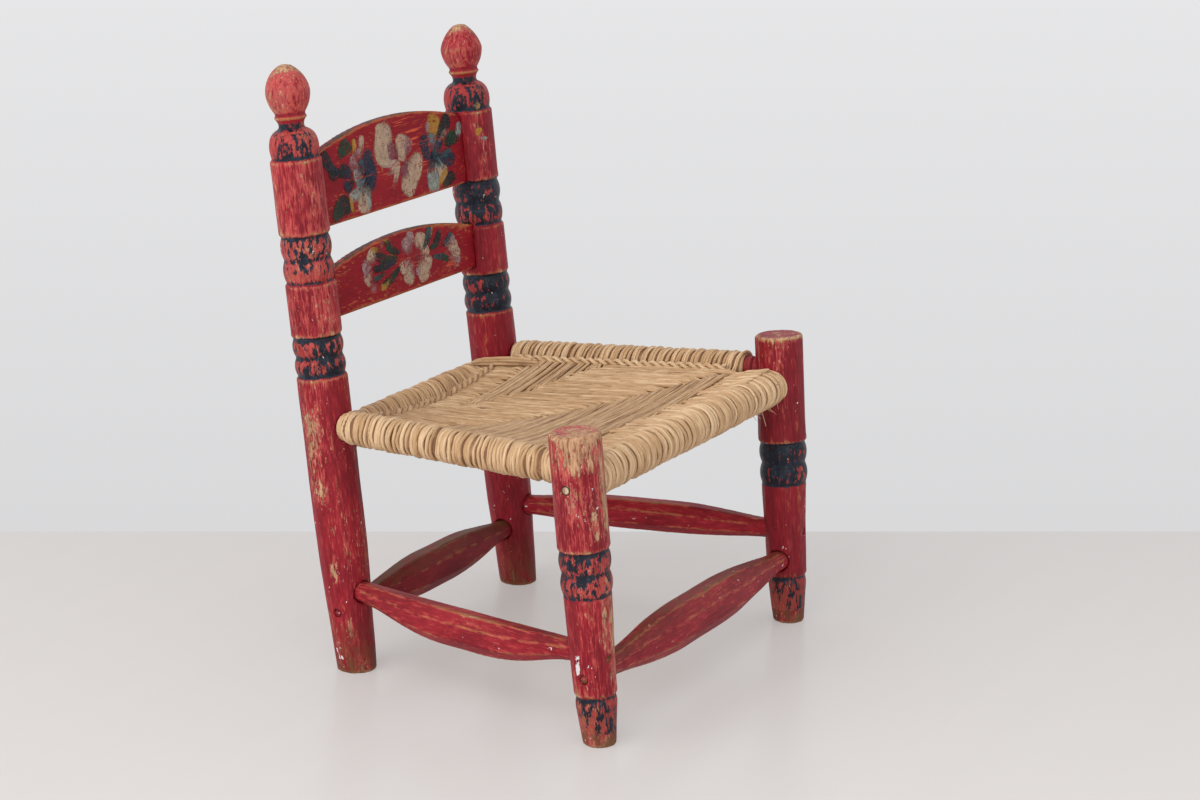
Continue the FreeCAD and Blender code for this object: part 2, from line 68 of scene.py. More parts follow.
# The table the chair stands on and the wall behind it: a pale limed board and a plain light wall.
# To the camera the board glows a little, less toward the wall, as under a broad window. The wall
# only shows from its front, so the chair can be looked at from behind as well.
TABLE_REACH = 4.0
TABLE_EDGE = 2.845
TABLE_COLOUR = (0.70, 0.660, 0.635, 1.0)
TABLE_DARKER = tuple(part * 0.965 for part in TABLE_COLOUR[:3]) + (1.0,)
TABLE_TURN = math.radians(-59.2)
TABLE_GLOW = 0.48
TABLE_GLOW_NEAR = 1.15
TABLE_GLOW_FAR = 0.82
TABLE_GLOW_DEPTH = 1.1
WALL_HEIGHT = 4.0
WALL_COLOUR = (0.77, 0.77, 0.78, 1.0)
WALL_GLOW_LOW = 0.90
WALL_GLOW_HIGH = 1.08
WALL_GLOW_RISE = 0.75


def sheet_of(name, corners):
    """A single flat face as an object of its own."""
    mesh = bpy.data.meshes.new(name)
    mesh.from_pydata([tuple(corner) for corner in corners], [], [tuple(range(len(corners)))])
    item = bpy.data.objects.new(name, mesh)
    scene.collection.objects.link(item)
    return item


def feed(socket, value):
    """Sets a socket, or links it when the value is the socket of another node."""
    if isinstance(value, bpy.types.NodeSocket):
        socket.id_data.links.new(value, socket)
    else:
        socket.default_value = value


def fill(node, **values):
    """Feeds the inputs of a node by label."""
    for label, value in values.items():
        feed(node.inputs[label.replace("_", " ")], value)


def new_node(tree, kind, *inputs, **values):
    """A shader node, fed by place and by label; labels in lower case are the node's own settings."""
    node = tree.nodes.new("ShaderNode" + kind)
    for setting in [label for label in values if label.islower()]:
        setattr(node, setting, values.pop(setting))
    fill(node, **values)
    for socket, value in zip(node.inputs, inputs):
        feed(socket, value)
    return node


def joined(kind, *inputs, **values):
    """A shader node in the tree of the sockets that feed it."""
    sockets = [value for value in (*inputs, *values.values()) if isinstance(value, bpy.types.NodeSocket)]
    return new_node(sockets[0].id_data, kind, *inputs, **values)


def new_material(name, **constants):
    """A fresh material, its node tree, and its shader with some constants set."""
    material = bpy.data.materials.new(name)
    material.use_nodes = True
    tree = material.node_tree
    shader = tree.nodes["Principled BSDF"]
    fill(shader, **constants)
    return material, tree, shader


level_ahead = Vector((CAMERA_AHEAD.x, CAMERA_AHEAD.y, 0.0)).normalized()
wall_half = level_ahead.cross(Vector((0.0, 0.0, 1.0))) * TABLE_REACH
wall_rise = Vector((0.0, 0.0, WALL_HEIGHT))
table_middle = Vector((CAMERA_PLACE.x, CAMERA_PLACE.y, 0.0)) + level_ahead * TABLE_EDGE
table = sheet_of("table_top", [
    (-TABLE_REACH, -TABLE_REACH, 0.0), (TABLE_REACH, -TABLE_REACH, 0.0),
    (TABLE_REACH, TABLE_REACH, 0.0), (-TABLE_REACH, TABLE_REACH, 0.0)])
wall = sheet_of("wall", [
    table_middle - wall_half, table_middle + wall_half,
    table_middle + wall_half + wall_rise, table_middle - wall_half + wall_rise])
for ray in ("visible_diffuse", "visible_glossy", "visible_shadow", "visible_transmission"):
    setattr(wall, ray, False)

table_finish, tree, shader = new_material("limed_board", Roughness=0.26, Specular_IOR_Level=0.42)
place = new_node(tree, "TexCoord").outputs["Object"]
turned = joined("Mapping", Vector=place, Rotation=(0.0, 0.0, TABLE_TURN), Scale=(0.6, 9.0, 1.0))
figure = joined("TexNoise", Vector=turned.outputs["Vector"], Scale=3.0, Detail=5.0).outputs["Fac"]
tint = joined("Mix", data_type="RGBA", Factor=figure, A=TABLE_COLOUR, B=TABLE_DARKER).outputs["Result"]
seen = new_node(tree, "LightPath").outputs["Is Camera Ray"]
share = joined("Math", seen, TABLE_GLOW, operation="MULTIPLY").outputs["Value"]
spot = new_node(tree, "NewGeometry").outputs["Position"]
depth = joined("VectorMath", spot, level_ahead, operation="DOT_PRODUCT").outputs["Value"]
far_edge = table_middle.dot(level_ahead)
fade = joined("MapRange", Value=depth, From_Min=far_edge - TABLE_GLOW_DEPTH, From_Max=far_edge,
              To_Min=TABLE_GLOW_NEAR, To_Max=TABLE_GLOW_FAR).outputs["Result"]
glow = joined("Emission", Color=tint, Strength=fade).outputs["Emission"]
lit = joined("MixShader", share, shader.outputs["BSDF"], glow).outputs["Shader"]
fill(shader, Base_Color=tint)
fill(tree.nodes["Material Output"], Surface=lit)
table.data.materials.append(table_finish)

wall_finish, tree, shader = new_material("wall_paint")
tree.nodes.remove(shader)
spot = new_node(tree, "NewGeometry").outputs
height = joined("SeparateXYZ", spot["Position"]).outputs["Z"]
fade = joined("MapRange", Value=height, From_Min=0.0, From_Max=WALL_GLOW_RISE,
              To_Min=WALL_GLOW_LOW, To_Max=WALL_GLOW_HIGH).outputs["Result"]
glow = joined("Emission", Color=WALL_COLOUR, Strength=fade).outputs["Emission"]
clear = new_node(tree, "BsdfTransparent").outputs["BSDF"]
side = joined("MixShader", spot["Backfacing"], glow, clear).outputs["Shader"]
fill(tree.nodes["Material Output"], Surface=side)
wall.data.materials.append(wall_finish)

# The light: a pale sky, a broad window high on the chair's right, and weak fills in front and above.
# The window is kept out of mirrored rays, so it leaves no glare on the board.
SKY_COLOUR = (0.93, 0.96, 1.0, 1.0)
SKY_STRENGTH = 0.86
LAMP_AIM = Vector((0.0, 0.0, 0.2))
sky = bpy.data.worlds.new("studio")
sky.use_nodes = True
fill(sky.node_tree.nodes["Background"], Color=SKY_COLOUR, Strength=SKY_STRENGTH)
scene.world = sky
for name, spot_at, size, power in (
        ("window", (-3.4, 0.80, 2.35), 4.6, 122.0),
        ("front_fill", (-1.8, -2.0, 0.8), 2.2, 12.0),
        ("top_fill", (0.5, 0.4, 2.9), 2.2, 6.0)):
    lamp = bpy.data.lights.new(name, "AREA")
    lamp.size = size
    lamp.energy = power
    holder = bpy.data.objects.new(name, lamp)
    holder.location = spot_at
    holder.rotation_euler = (LAMP_AIM - Vector(spot_at)).to_track_quat("-Z", "Y").to_euler()
    holder.visible_glossy = name != "window"
    scene.collection.objects.link(holder)

# The rear posts: each turned from one billet and brushed with crimson paint, the beads and urn picked
# out in blue-black. Handling has rubbed the paint thin along the grain and bared wood on the edges.
RAKE_REAR = math.radians(6.48)
REAR_FOOT = (0.1357, 0.1069)
POST_VOXEL = 0.0012
POST_SLACK = 0.0005
REAR_BANDS = ((0.2705, 0.3075), (0.3545, 0.3985), (0.4630, 0.4940))
REAR_COLLAR = (0.4935, 0.5025)
REAR_FINIAL, REAR_CROWN, REAR_SHAFT = 0.492, 0.531, 0.268
BAND_SOFT = 0.004
REAR_PATCHES = {
    "right": ((45.0, 22.0, 0.40, 0.46, 0.20), (166.0, 9.0, 0.415, 0.455, 0.14),
              (98.0, 14.0, 0.082, 0.108, 0.30), (80.0, 26.0, 0.155, 0.245, 0.30),
              (122.0, 7.0, 0.036, 0.052, 0.50), (40.0, 25.0, 0.50, 0.53, 0.24),
              (140.0, 6.0, 0.07, 0.17, 0.20), (150.0, 30.0, 0.0, 0.012, 0.22),
              (110.0, 60.0, 0.315, 0.348, 0.10)),
    "left": ((60.0, 25.0, 0.31, 0.35, 0.18), (150.0, 20.0, 0.40, 0.46, 0.16),
             (100.0, 30.0, 0.0, 0.012, 0.20))}
REAR_FLATS = ((0.0, 0.2690), (0.3090, 0.3530), (0.4000, 0.4610))
FLAT_SHARE = 0.6
FLAT_SWAY, FLAT_BEAT = 0.13, 9.0
FLAT_SOFT = 0.006
FLAT_CORE = 0.012
HUMPS = ((45.0, 0.7), (160.0, 0.3))
HUMP_LONG = 30.0
JOINT_REACH = 0.006
SHARP_BEND = 260.0
CRIMSON = (0.320, 0.014, 0.024, 1.0)
CRIMSON_DEEP = (0.155, 0.006, 0.012, 1.0)
SALMON = (0.520, 0.092, 0.078, 1.0)
MAUVE = (0.430, 0.068, 0.080, 1.0)
BARE_WOOD = (0.560, 0.315, 0.180, 1.0)
BROWN_WOOD = (0.200, 0.090, 0.040, 1.0)
OCHRE_EDGE = (0.360, 0.150, 0.050, 1.0)
PORE = (0.040, 0.003, 0.005, 1.0)
CHIP_RIM = (0.060, 0.010, 0.008, 1.0)
HOLLOW_SHADE = (0.030, 0.010, 0.010, 1.0)
BLUE_BLACK = (0.009, 0.011, 0.017, 1.0)
SLATE = (0.024, 0.034, 0.056, 1.0)
STAIN = (0.390, 0.058, 0.045, 1.0)
CHALK = (0.640, 0.600, 0.590, 1.0)
SOIL_SHADE_COLOUR = (0.130, 0.048, 0.020, 1.0)


def ramp(values, start, run):
    """Zero up to a start, then rising to one over a run; a negative run rises the other way."""
    return np.clip((values - start) / run, 0.0, 1.0)


def inside_spans(levels, spans, soft):
    """One inside any span of levels, zero outside, with an edge that is soft."""
    found = np.zeros(len(levels))
    for low, high in spans:
        found = np.maximum(found, np.clip(0.5 + np.minimum(levels - low, high - levels) / soft, 0.0, 1.0))
    return found


def around(grain, turn, wide, low, high):
    """A soft patch on a round piece: its middle direction and half width in degrees, its levels."""
    angle = np.degrees(np.arctan2(grain[:, 1], grain[:, 0])) - turn
    angle = np.abs((angle + 180.0) % 360.0 - 180.0)
    return np.clip(1.5 - angle / wide, 0.0, 1.0) * inside_spans(grain[:, 2], ((low, high),), 0.02)


def patched(grain, patches):
    """The strongest of some patches, each given as for around and with its amount."""
    found = np.zeros(len(grain))
    for turn, wide, low, high, amount in patches:
        found = np.maximum(found, around(grain, turn, wide, low, high) * amount)
    return found


def rows_of(items, key, width, kind=float):
    """One value of all the items of a mesh, as rows of numbers."""
    values = np.empty(len(items) * width, dtype=kind)
    items.foreach_get(key, values)
    return values.reshape(-1, width)


def set_masks(piece, **masks):
    """Stores values on the points of a piece, for its material to read."""
    for label, values in masks.items():
        spread = np.array(np.broadcast_to(values, len(piece.data.vertices)), dtype=float)
        piece.data.attributes.new(label, "FLOAT", "POINT").data.foreach_set("value", spread)


def worked(name, voxel, start, toward, slack, flats=(), sides=13, soften=2):
    """A hand-worked copy of a CAD node: remeshed, its arrises softened, its faces slightly uneven.

    Each point keeps its place along and across the grain and how far the surface stands out there,
    which counts for nothing right beside the next wooden piece.
    """
    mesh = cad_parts[name].data.copy()
    knit = bmesh.new()
    knit.from_mesh(mesh)
    bmesh.ops.remove_doubles(knit, verts=knit.verts, dist=1e-6)
    knit.to_mesh(mesh)
    knit.free()
    piece = bpy.data.objects.new(name + "_worked", mesh)
    scene.collection.objects.link(piece)
    skin = piece.modifiers.new("skin", "REMESH")
    skin.mode = "VOXEL"
    skin.voxel_size = voxel
    shaped = bpy.data.meshes.new_from_object(piece.evaluated_get(bpy.context.evaluated_depsgraph_get()))
    piece.modifiers.clear()
    piece.data = shaped
    count = len(shaped.vertices)
    spots = rows_of(shaped.vertices, "co", 3)
    first, second = rows_of(shaped.edges, "vertices", 2, np.int64).T
    ties = np.bincount(first, minlength=count) + np.bincount(second, minlength=count)

    def spread(values):
        total = np.zeros_like(values)
        np.add.at(total, first, values[second])
        np.add.at(total, second, values[first])
        return total / ties.reshape((-1,) + (1,) * (values.ndim - 1))

    for _ in range(soften):
        spots = spots * 0.5 + spread(spots) * 0.5
    along = np.array(toward, dtype=float)
    along /= np.linalg.norm(along)
    out = np.cross(along, (0.0, 0.0, 1.0) if abs(along[2]) < 0.8 else (1.0, 0.0, 0.0))
    out /= np.linalg.norm(out)
    other = np.cross(along, out)
    rest = spots - np.array(start)
    grain = np.stack([rest @ out, rest @ other, rest @ along], axis=1)
    if flats:
        reach = np.hypot(grain[:, 0], grain[:, 1])
        turned = np.arctan2(grain[:, 1], grain[:, 0])
        step = 2.0 * math.pi / sides
        phase = np.mod(turned + FLAT_SWAY * np.sin(grain[:, 2] * FLAT_BEAT), step) - step / 2.0
        flatten = math.cos(step / 2.0) / np.cos(phase)
        where = inside_spans(grain[:, 2], flats, FLAT_SOFT) * ramp(reach, FLAT_CORE, 0.003)
        scale = (flatten - 1.0) * where * FLAT_SHARE
        spots = spots + (np.outer(grain[:, 0], out) + np.outer(grain[:, 1], other)) * scale[:, None]
    shaped.vertices.foreach_set("co", spots.ravel())
    shaped.update()
    facing = rows_of(shaped.vertex_normals, "vector", 3)
    seed = Vector((len(name) * 3.1, sum(map(ord, name)) * 0.37, 0.0))
    lift = np.array([sum(noise.noise(Vector((g[0] * fine, g[1] * fine, g[2] * HUMP_LONG)) + seed) * weight
                         for fine, weight in HUMPS) for g in grain])
    spots = spots + facing * (lift * slack)[:, None]
    spots[:, 2] = np.maximum(spots[:, 2], 0.0)
    shaped.vertices.foreach_set("co", spots.ravel())
    shaped.update()
    gap = spots[second] - spots[first]
    bend = ((facing[second] - facing[first]) * gap).sum(axis=1) / np.maximum((gap * gap).sum(axis=1), 1e-12)
    edge = np.zeros(count)
    np.add.at(edge, first, bend)
    np.add.at(edge, second, bend)
    edge = edge / ties
    for _ in range(3):
        edge = edge * 0.4 + spread(edge) * 0.6
    points = []
    faces = []
    for label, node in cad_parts.items():
        if label != name and not label.endswith("_wrap") and not label.startswith("seat"):
            base = len(points)
            points.extend(vertex.co.copy() for vertex in node.data.vertices)
            faces.extend(tuple(base + corner for corner in face.vertices) for face in node.data.polygons)
    nearby = BVHTree.FromPolygons(points, faces)
    close = np.zeros(count)
    for index, spot in enumerate(spots):
        found = nearby.find_nearest(Vector(spot), JOINT_REACH)
        if found[3] is not None:
            close[index] = 1.0 - found[3] / JOINT_REACH
    shaped.attributes.new("grain", "FLOAT_VECTOR", "POINT").data.foreach_set("vector", grain.ravel())
    set_masks(piece, edge=np.clip(edge / SHARP_BEND, -1.0, 1.0) * np.clip(1.0 - 2.0 * close, 0.0, 1.0))
    shaped.shade_smooth()
    shaped.materials.clear()
    return piece, grain


def tree_of(name, inputs, outputs):
    """An empty shader node group with sockets of some kinds: the group, what it is given, its end."""
    group = bpy.data.node_groups.new(name, "ShaderNodeTree")
    for direction, kinds in (("INPUT", inputs), ("OUTPUT", outputs)):
        for kind, labels in kinds.items():
            for label in labels:
                group.interface.new_socket(label, in_out=direction, socket_type="NodeSocket" + kind)
    return group, group.nodes.new("NodeGroupInput").outputs, group.nodes.new("NodeGroupOutput")


def math_node(kind, *values):
    return joined("Math", *values, operation=kind).outputs[0]


def sum_node(*terms, plus=0.0):
    """A number plus some values, each weighted by its last number and taken about a middle if it has one."""
    total = plus
    for value, *middle, weight in terms:
        if middle:
            value = math_node("SUBTRACT", value, middle[0])
        total = math_node("ADD", total, math_node("MULTIPLY", value, weight))
    return total


def noise_node(vector, scale, stretch, detail=4.0, rough=0.55):
    bent = joined("VectorMath", vector, stretch, operation="MULTIPLY").outputs[0]
    return joined("TexNoise", Vector=bent, Scale=scale, Detail=detail, Roughness=rough).outputs["Fac"]


def step_node(value, low, high):
    return joined("MapRange", interpolation_type="SMOOTHSTEP", Value=value, From_Min=low,
                  From_Max=high).outputs["Result"]


def mix_node(share, first, second, amount=None):
    """A colour between two; an amount cuts the share of the second."""
    if amount is not None:
        share = math_node("MULTIPLY", share, amount)
    return joined("Mix", data_type="RGBA", Factor=share, A=first, B=second).outputs["Result"]


def attribute_node(tree, name, output="Fac"):
    return new_node(tree, "Attribute", attribute_name=name).outputs[output]


def bump_node(height, distance, strength):
    return joined("Bump", Height=height, Distance=distance, Strength=strength).outputs["Normal"]


# Brushed paint worn back along the grain: full coat, thin rubbed coat, then bare wood on the arrises.
worn, given, made = tree_of(
    "worn_paint",
    {"Vector": ("Grain",), "Float": ("Edge", "Wear", "Rub", "Specks", "Soiled"),
     "Color": ("Coat", "Deep Coat", "Rubbed", "Ridge", "Wood", "Soil")},
    {"Color": ("Color",), "Float": ("Roughness", "Height")})
fibre, streak, chips, speck, patch, cloud = (
    noise_node(given["Grain"], scale, (1.0, 1.0, along), detail, rough)
    for scale, along, detail, rough in (
        (1300.0, 0.035, 2.0, 0.55), (430.0, 0.20, 5.0, 0.66), (150.0, 0.42, 7.0, 0.64),
        (460.0, 0.40, 3.0, 0.6), (34.0, 0.45, 3.0, 0.55), (14.0, 0.5, 2.0, 0.55)))
# Rubbing thins the coat toward salmon; the rub-and-light value also carries painted light on some faces.
rub = sum_node((given["Edge"], 0.45), (given["Wear"], 1.0), (given["Rub"], 1.0),
               (streak, 0.5, 1.7), (patch, 0.5, 0.9), (fibre, 0.5, 0.6))
wear = sum_node((given["Edge"], 0.60), (given["Wear"], 1.15),
                (chips, 0.5, 1.8), (patch, 0.5, 1.0), (fibre, 0.5, 0.4))
spot = sum_node((given["Specks"], 1.0), (given["Wear"], 0.45), (speck, 1.0),
                (patch, 0.5, 0.50))
raised = sum_node((given["Edge"], 0.8), (streak, 0.5, 0.8), (patch, 0.5, 1.0), (chips, 0.5, 0.8))
bare = step_node(wear, 0.47, 0.51)
rim = math_node("SUBTRACT", step_node(wear, 0.42, 0.47), bare)
tone = step_node(sum_node((streak, 0.9), (patch, 0.5), (cloud, 0.6)), 0.72, 1.22)
thin = mix_node(step_node(patch, 0.52, 0.66), given["Rubbed"], MAUVE)
timber = mix_node(step_node(streak, 0.30, 0.66), BROWN_WOOD, given["Wood"])
# Soil darkens the coat where the soil-and-shade value is set; on the stretchers it is partly painted shade.
dirt_and_shade = math_node("MULTIPLY", given["Soiled"], step_node(chips, 0.34, 0.56))
# Where the surface curves inward the coat is darkened: painted shade in the hollows.
hollow_shade = step_node(math_node("MULTIPLY", given["Edge"], -1.0), 0.05, 0.6)
colour = mix_node(tone, given["Deep Coat"], given["Coat"])
for mask, over, amount in (
        (step_node(rub, 0.16, 0.60), thin, 0.75), (step_node(fibre, 0.60, 0.72), given["Rubbed"], 0.30),
        (step_node(fibre, 0.40, 0.28), PORE, 0.45), (step_node(raised, 0.16, 0.56), given["Ridge"], 0.70),
        (rim, CHIP_RIM, 0.6), (step_node(spot, 0.70, 0.74), timber, 0.62),
        (bare, timber, None), (dirt_and_shade, given["Soil"], None), (hollow_shade, HOLLOW_SHADE, 0.5)):
    colour = mix_node(mask, colour, over, amount)
fill(made, Color=colour, Roughness=sum_node((bare, 0.22), (streak, -1.4, 0.26)),
     Height=sum_node((fibre, 0.35), (streak, 0.45), (bare, -0.45)))

# A second colour brushed over the first in bands, which has since flaked off in upright chips.
banded, given, made = tree_of(
    "banded_paint",
    {"Vector": ("Grain",), "Float": ("Edge", "Band", "Loss"), "Color": ("Under", "Thin", "Coat")},
    {"Color": ("Color",), "Float": ("Cover",)})
ragged = noise_node(given["Grain"], 260.0, (1.0, 1.0, 0.8), 4.0)
flake = noise_node(given["Grain"], 330.0, (1.0, 1.0, 0.38), 5.0, 0.66)
field = noise_node(given["Grain"], 40.0, (1.0, 1.0, 0.8), 2.0)
reach = step_node(sum_node((given["Band"], 1.0), (ragged, 0.5, 1.1)), 0.42, 0.56)
loss = sum_node((given["Edge"], 0.25), (flake, 1.0), (field, 0.5, 0.55),
                (given["Loss"], 1.0))
kept = math_node("SUBTRACT", 1.0, step_node(loss, 0.50, 0.54))
cover = math_node("MULTIPLY", reach, kept)
slate = mix_node(step_node(ragged, 0.45, 0.75), given["Coat"], SLATE)
colour = mix_node(reach, given["Under"], given["Thin"], 0.40)
fill(made, Color=mix_node(cover, colour, slate), Cover=cover)

# Stray flecks of pale paint that were splashed on the chair later.
flecked, given, made = tree_of(
    "paint_flecks", {"Vector": ("Grain",), "Float": ("Amount",), "Color": ("Under", "Fleck")},
    {"Color": ("Color",)})
splash = noise_node(given["Grain"], 260.0, (1.0, 1.0, 0.55), 3.0, 0.6)
shower = noise_node(given["Grain"], 70.0, (1.0, 1.0, 0.8), 2.0)
wet = sum_node((splash, 1.0), (given["Amount"], 1.0), (shower, 0.5, 0.5))
fill(made, Color=mix_node(step_node(wet, 0.745, 0.775), given["Under"], given["Fleck"]))


def painted_wood(name, wear, specks, shade_level):
    """Worn crimson, blue-black where the band attribute is set; shade_level scales the coat as painted shade.
    """
    material, tree, shader = new_material(name, Specular_IOR_Level=0.20)
    grain = attribute_node(tree, "grain", "Vector")
    edge = attribute_node(tree, "edge")
    full, low, rubbed = (tuple(part * shade_level for part in colour[:3]) + (1.0,)
                         for colour in (CRIMSON, CRIMSON_DEEP, SALMON))
    coat = joined("Group", node_tree=worn, Grain=grain, Edge=edge, Specks=specks, Coat=full,
                  Wear=math_node("ADD", attribute_node(tree, "handled"), wear),
                  Rub=attribute_node(tree, "rubbed"), Soiled=attribute_node(tree, "soiled"),
                  Deep_Coat=low, Rubbed=rubbed, Ridge=OCHRE_EDGE, Wood=BARE_WOOD, Soil=SOIL_SHADE_COLOUR).outputs
    band = joined("Group", node_tree=banded, Grain=grain, Edge=edge, Coat=BLUE_BLACK, Thin=STAIN,
                  Under=coat["Color"], Band=attribute_node(tree, "band"),
                  Loss=attribute_node(tree, "flaked")).outputs
    fleck = joined("Group", node_tree=flecked, Grain=grain, Under=band["Color"], Fleck=CHALK,
                   Amount=attribute_node(tree, "fleck")).outputs
    gloss = sum_node((coat["Roughness"], 1.0), (band["Cover"], -0.14))
    height = sum_node((coat["Height"], 1.0), (band["Cover"], 0.25))
    fill(shader, Base_Color=fleck["Color"], Roughness=gloss, Normal=bump_node(height, 0.0008, 0.6))
    return material


rear_axis = (0.0, math.sin(RAKE_REAR), math.cos(RAKE_REAR))
# The left post stands away from the window: its lower shade_level is painted shade.
for side, sign, wear, rub, specks, held, flaked, shade_level in (
        ("right", -1.0, 0.01, 0.18, 0.04, 0.05, (-0.045, 0.02, 0.01), 1.0),
        ("left", 1.0, -0.06, 0.04, 0.01, 0.11, (-0.11, -0.085, -0.01), 0.94)):
    name = side + "_rear_post"
    foot = (sign * REAR_FOOT[0], REAR_FOOT[1], 0.0)
    piece, grain = worked(name, POST_VOXEL, foot, rear_axis, POST_SLACK, REAR_FLATS)
    levels = grain[:, 2]
    bands = inside_spans(levels, REAR_BANDS, BAND_SOFT)
    collar = inside_spans(levels, (REAR_COLLAR,), 0.003)
    finial = ramp(levels, REAR_FINIAL, 0.01)
    crown = ramp(levels, REAR_CROWN, 0.010)
    shaft = ramp(levels, REAR_SHAFT, -0.02)
    middle = np.clip(1.0 - np.abs(levels - 0.40) / 0.13, 0.0, 1.0)
    set_masks(piece, band=bands, flaked=np.interp(levels, (0.29, 0.375, 0.48), flaked),
              handled=finial * held + crown * 0.24 - collar * 0.28 + middle * 0.06 + bands * 0.06
              + patched(grain, REAR_PATCHES[side]),
              rubbed=rub * (1.0 - 0.75 * shaft) + finial * 0.12 + middle * 0.05,
              soiled=ramp(levels, 0.050, -0.05) * 0.8,
              fleck=around(grain, 80.0, 16.0, 0.006, 0.034) * (0.11 if sign < 0 else 0.0))
    piece.data.materials.append(painted_wood(name + "_paint", wear, specks, shade_level))
    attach(piece, "root")
    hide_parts(name)

# The front posts: shorter turnings with a bulged foot, one pair of beads and a plain head, painted
# the same. Their heads stick up past the seat and are worn to bare wood by hands.
RAKE_FRONT = math.radians(4.1)
SPLAY_FRONT = math.radians(1.64)
FRONT_FOOT = (0.1735, -0.1697)
FRONT_BANDS = ((0.1325, 0.1745), (0.0120, 0.0450))
FRONT_HEAD, FRONT_CROWN, FRONT_HEEL = 0.236, 0.2715, 0.030
FRONT_FLATS = ((0.0480, 0.1305), (0.1770, 0.2800))
FRONT_SIDES = 11
FRONT_PATCHES = {
    "right": ((188.0, 20.0, 0.185, 0.265, 0.30), (104.0, 9.0, 0.205, 0.225, 0.30),
              (195.0, 22.0, 0.05, 0.125, 0.30), (158.0, 9.0, 0.085, 0.125, 0.22),
              (150.0, 12.0, 0.185, 0.215, 0.24), (130.0, 60.0, 0.0, 0.010, 0.25)),
    "left": ((60.0, 25.0, 0.20, 0.27, 0.12), (180.0, 20.0, 0.06, 0.12, 0.14),
             (130.0, 60.0, 0.0, 0.012, 0.25))}
# The left front post stands away from the window: its lower shade_level is painted shade.
for side, sign, wear, rub, specks, worn_share, flaked, shade_level in (
        ("right", -1.0, 0.05, 0.14, 0.04, 1.0, (0.03, -0.02), 1.0),
        ("left", 1.0, -0.03, 0.0, 0.01, 0.45, (0.05, -0.13), 0.88)):
    name = side + "_front_post"
    foot = (sign * FRONT_FOOT[0], FRONT_FOOT[1], 0.0)
    lean = Vector((sign * math.tan(SPLAY_FRONT), math.tan(RAKE_FRONT), 1.0)).normalized()
    piece, grain = worked(name, POST_VOXEL, foot, tuple(lean), POST_SLACK, FRONT_FLATS, FRONT_SIDES)
    levels = grain[:, 2]
    bands = inside_spans(levels, FRONT_BANDS, BAND_SOFT)
    head = ramp(levels, FRONT_HEAD, 0.014) * np.maximum(around(grain, 135.0, 62.0, 0.20, 0.30), 0.35)
    crown = ramp(levels, FRONT_CROWN, 0.001)
    heel = ramp(levels, FRONT_HEEL, -0.02)
    smear = around(grain, 78.0, 7.0, 0.060, 0.080) * 0.38
    splashes = np.maximum(around(grain, 118.0, 45.0, 0.185, 0.262) * 0.045,
                          around(grain, 110.0, 50.0, 0.0, 0.05) * 0.03)
    set_masks(piece, band=bands, flaked=np.interp(levels, (0.03, 0.15), flaked), rubbed=rub,
              handled=np.maximum(head * 0.40 * worn_share, patched(grain, FRONT_PATCHES[side]))
              + crown * 0.22 + heel * 0.10 + bands * 0.10,
              soiled=ramp(levels, 0.050, -0.04) * 0.85,
              fleck=np.maximum(smear, splashes) if sign < 0 else splashes * 0.3)
    piece.data.materials.append(painted_wood(name + "_paint", wear, specks, shade_level))
    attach(piece, "root")
    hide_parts(name)

# The four stretchers: split billets shaved to eight flats with a drawknife, fat in the middle and
# driven into the posts. Feet have scuffed the paint off their edges.
STRETCHER_VOXEL = 0.0011
# The rear stretcher's low shade_level is painted shade, as it lies under the seat.
for name, toward, wear, rub, specks, shade_level, grime_and_shade in (
        ("front_stretcher", (1.0, 0.0, 0.0), -0.06, 0.10, 0.03, 0.98, 0.50),
        ("rear_stretcher", (1.0, 0.0, 0.0), -0.12, 0.04, 0.0, 0.80, 0.95),
        ("right_stretcher", (-0.040, -0.271, 0.003), -0.07, 0.12, 0.03, 1.04, 0.15),
        ("left_stretcher", (0.040, -0.271, 0.009), -0.13, 0.12, 0.0, 1.18, 0.15)):
    low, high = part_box(name)
    middle = (Vector(low) + Vector(high)) / 2.0
    piece, grain = worked(name, STRETCHER_VOXEL, tuple(middle), toward, POST_SLACK, soften=1)
    away = np.abs(grain[:, 2]) - np.abs(grain[:, 2]).max()
    # The sawn ends sit deep in their holes: their darkening is browner end grain and painted shade.
    sawn = ramp(away, -0.004, 0.002) * (name != "rear_stretcher")
    shoulder = ramp(away, -0.045, 0.02)
    # On upper facets grime darkens the coat; on the rear stretcher, under the seat, it is partly painted
    # shade.
    upper = ramp(rows_of(piece.data.vertex_normals, "vector", 3)[:, 2], 0.45, 0.35)
    # Upper facets are rubbed lighter: partly scuffs from feet, partly painted light from above.
    set_masks(piece, band=0.0, flaked=0.0, fleck=0.0, handled=0.03 + shoulder * 0.10 + sawn * 0.2,
              soiled=np.maximum(sawn, upper * grime_and_shade), rubbed=rub * (1.0 + upper))
    piece.data.materials.append(painted_wood(name + "_paint", wear, specks, shade_level))
    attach(piece, "root")
    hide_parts(name)

# The four seat rails: round rods driven through the posts, with the strands wound round them. They
# are painted only where the ends show. The front rail's sawn ends have painted shade round a pale core.
RAIL_END = 0.1985
RAIL_AXIS = (0.0, -0.15343, 0.2270)
END_PALE, END_SHADE_REACH = 0.0023, 0.0036
RING_DARK = (0.270, 0.165, 0.090, 1.0)
RING_PALE = (0.560, 0.430, 0.290, 1.0)
END_RIM_SHADE = (0.035, 0.016, 0.010, 1.0)
rail_paint, tree, shader = new_material("rail_paint", Specular_IOR_Level=0.3, Roughness=0.6)
place = new_node(tree, "TexCoord").outputs["Object"]
coat = joined("Group", node_tree=worn, Grain=place, Edge=0.0, Wear=0.02, Soiled=0.2, Coat=CRIMSON,
              Deep_Coat=CRIMSON_DEEP, Rubbed=SALMON, Ridge=OCHRE_EDGE, Wood=BARE_WOOD, Soil=SOIL_SHADE_COLOUR)
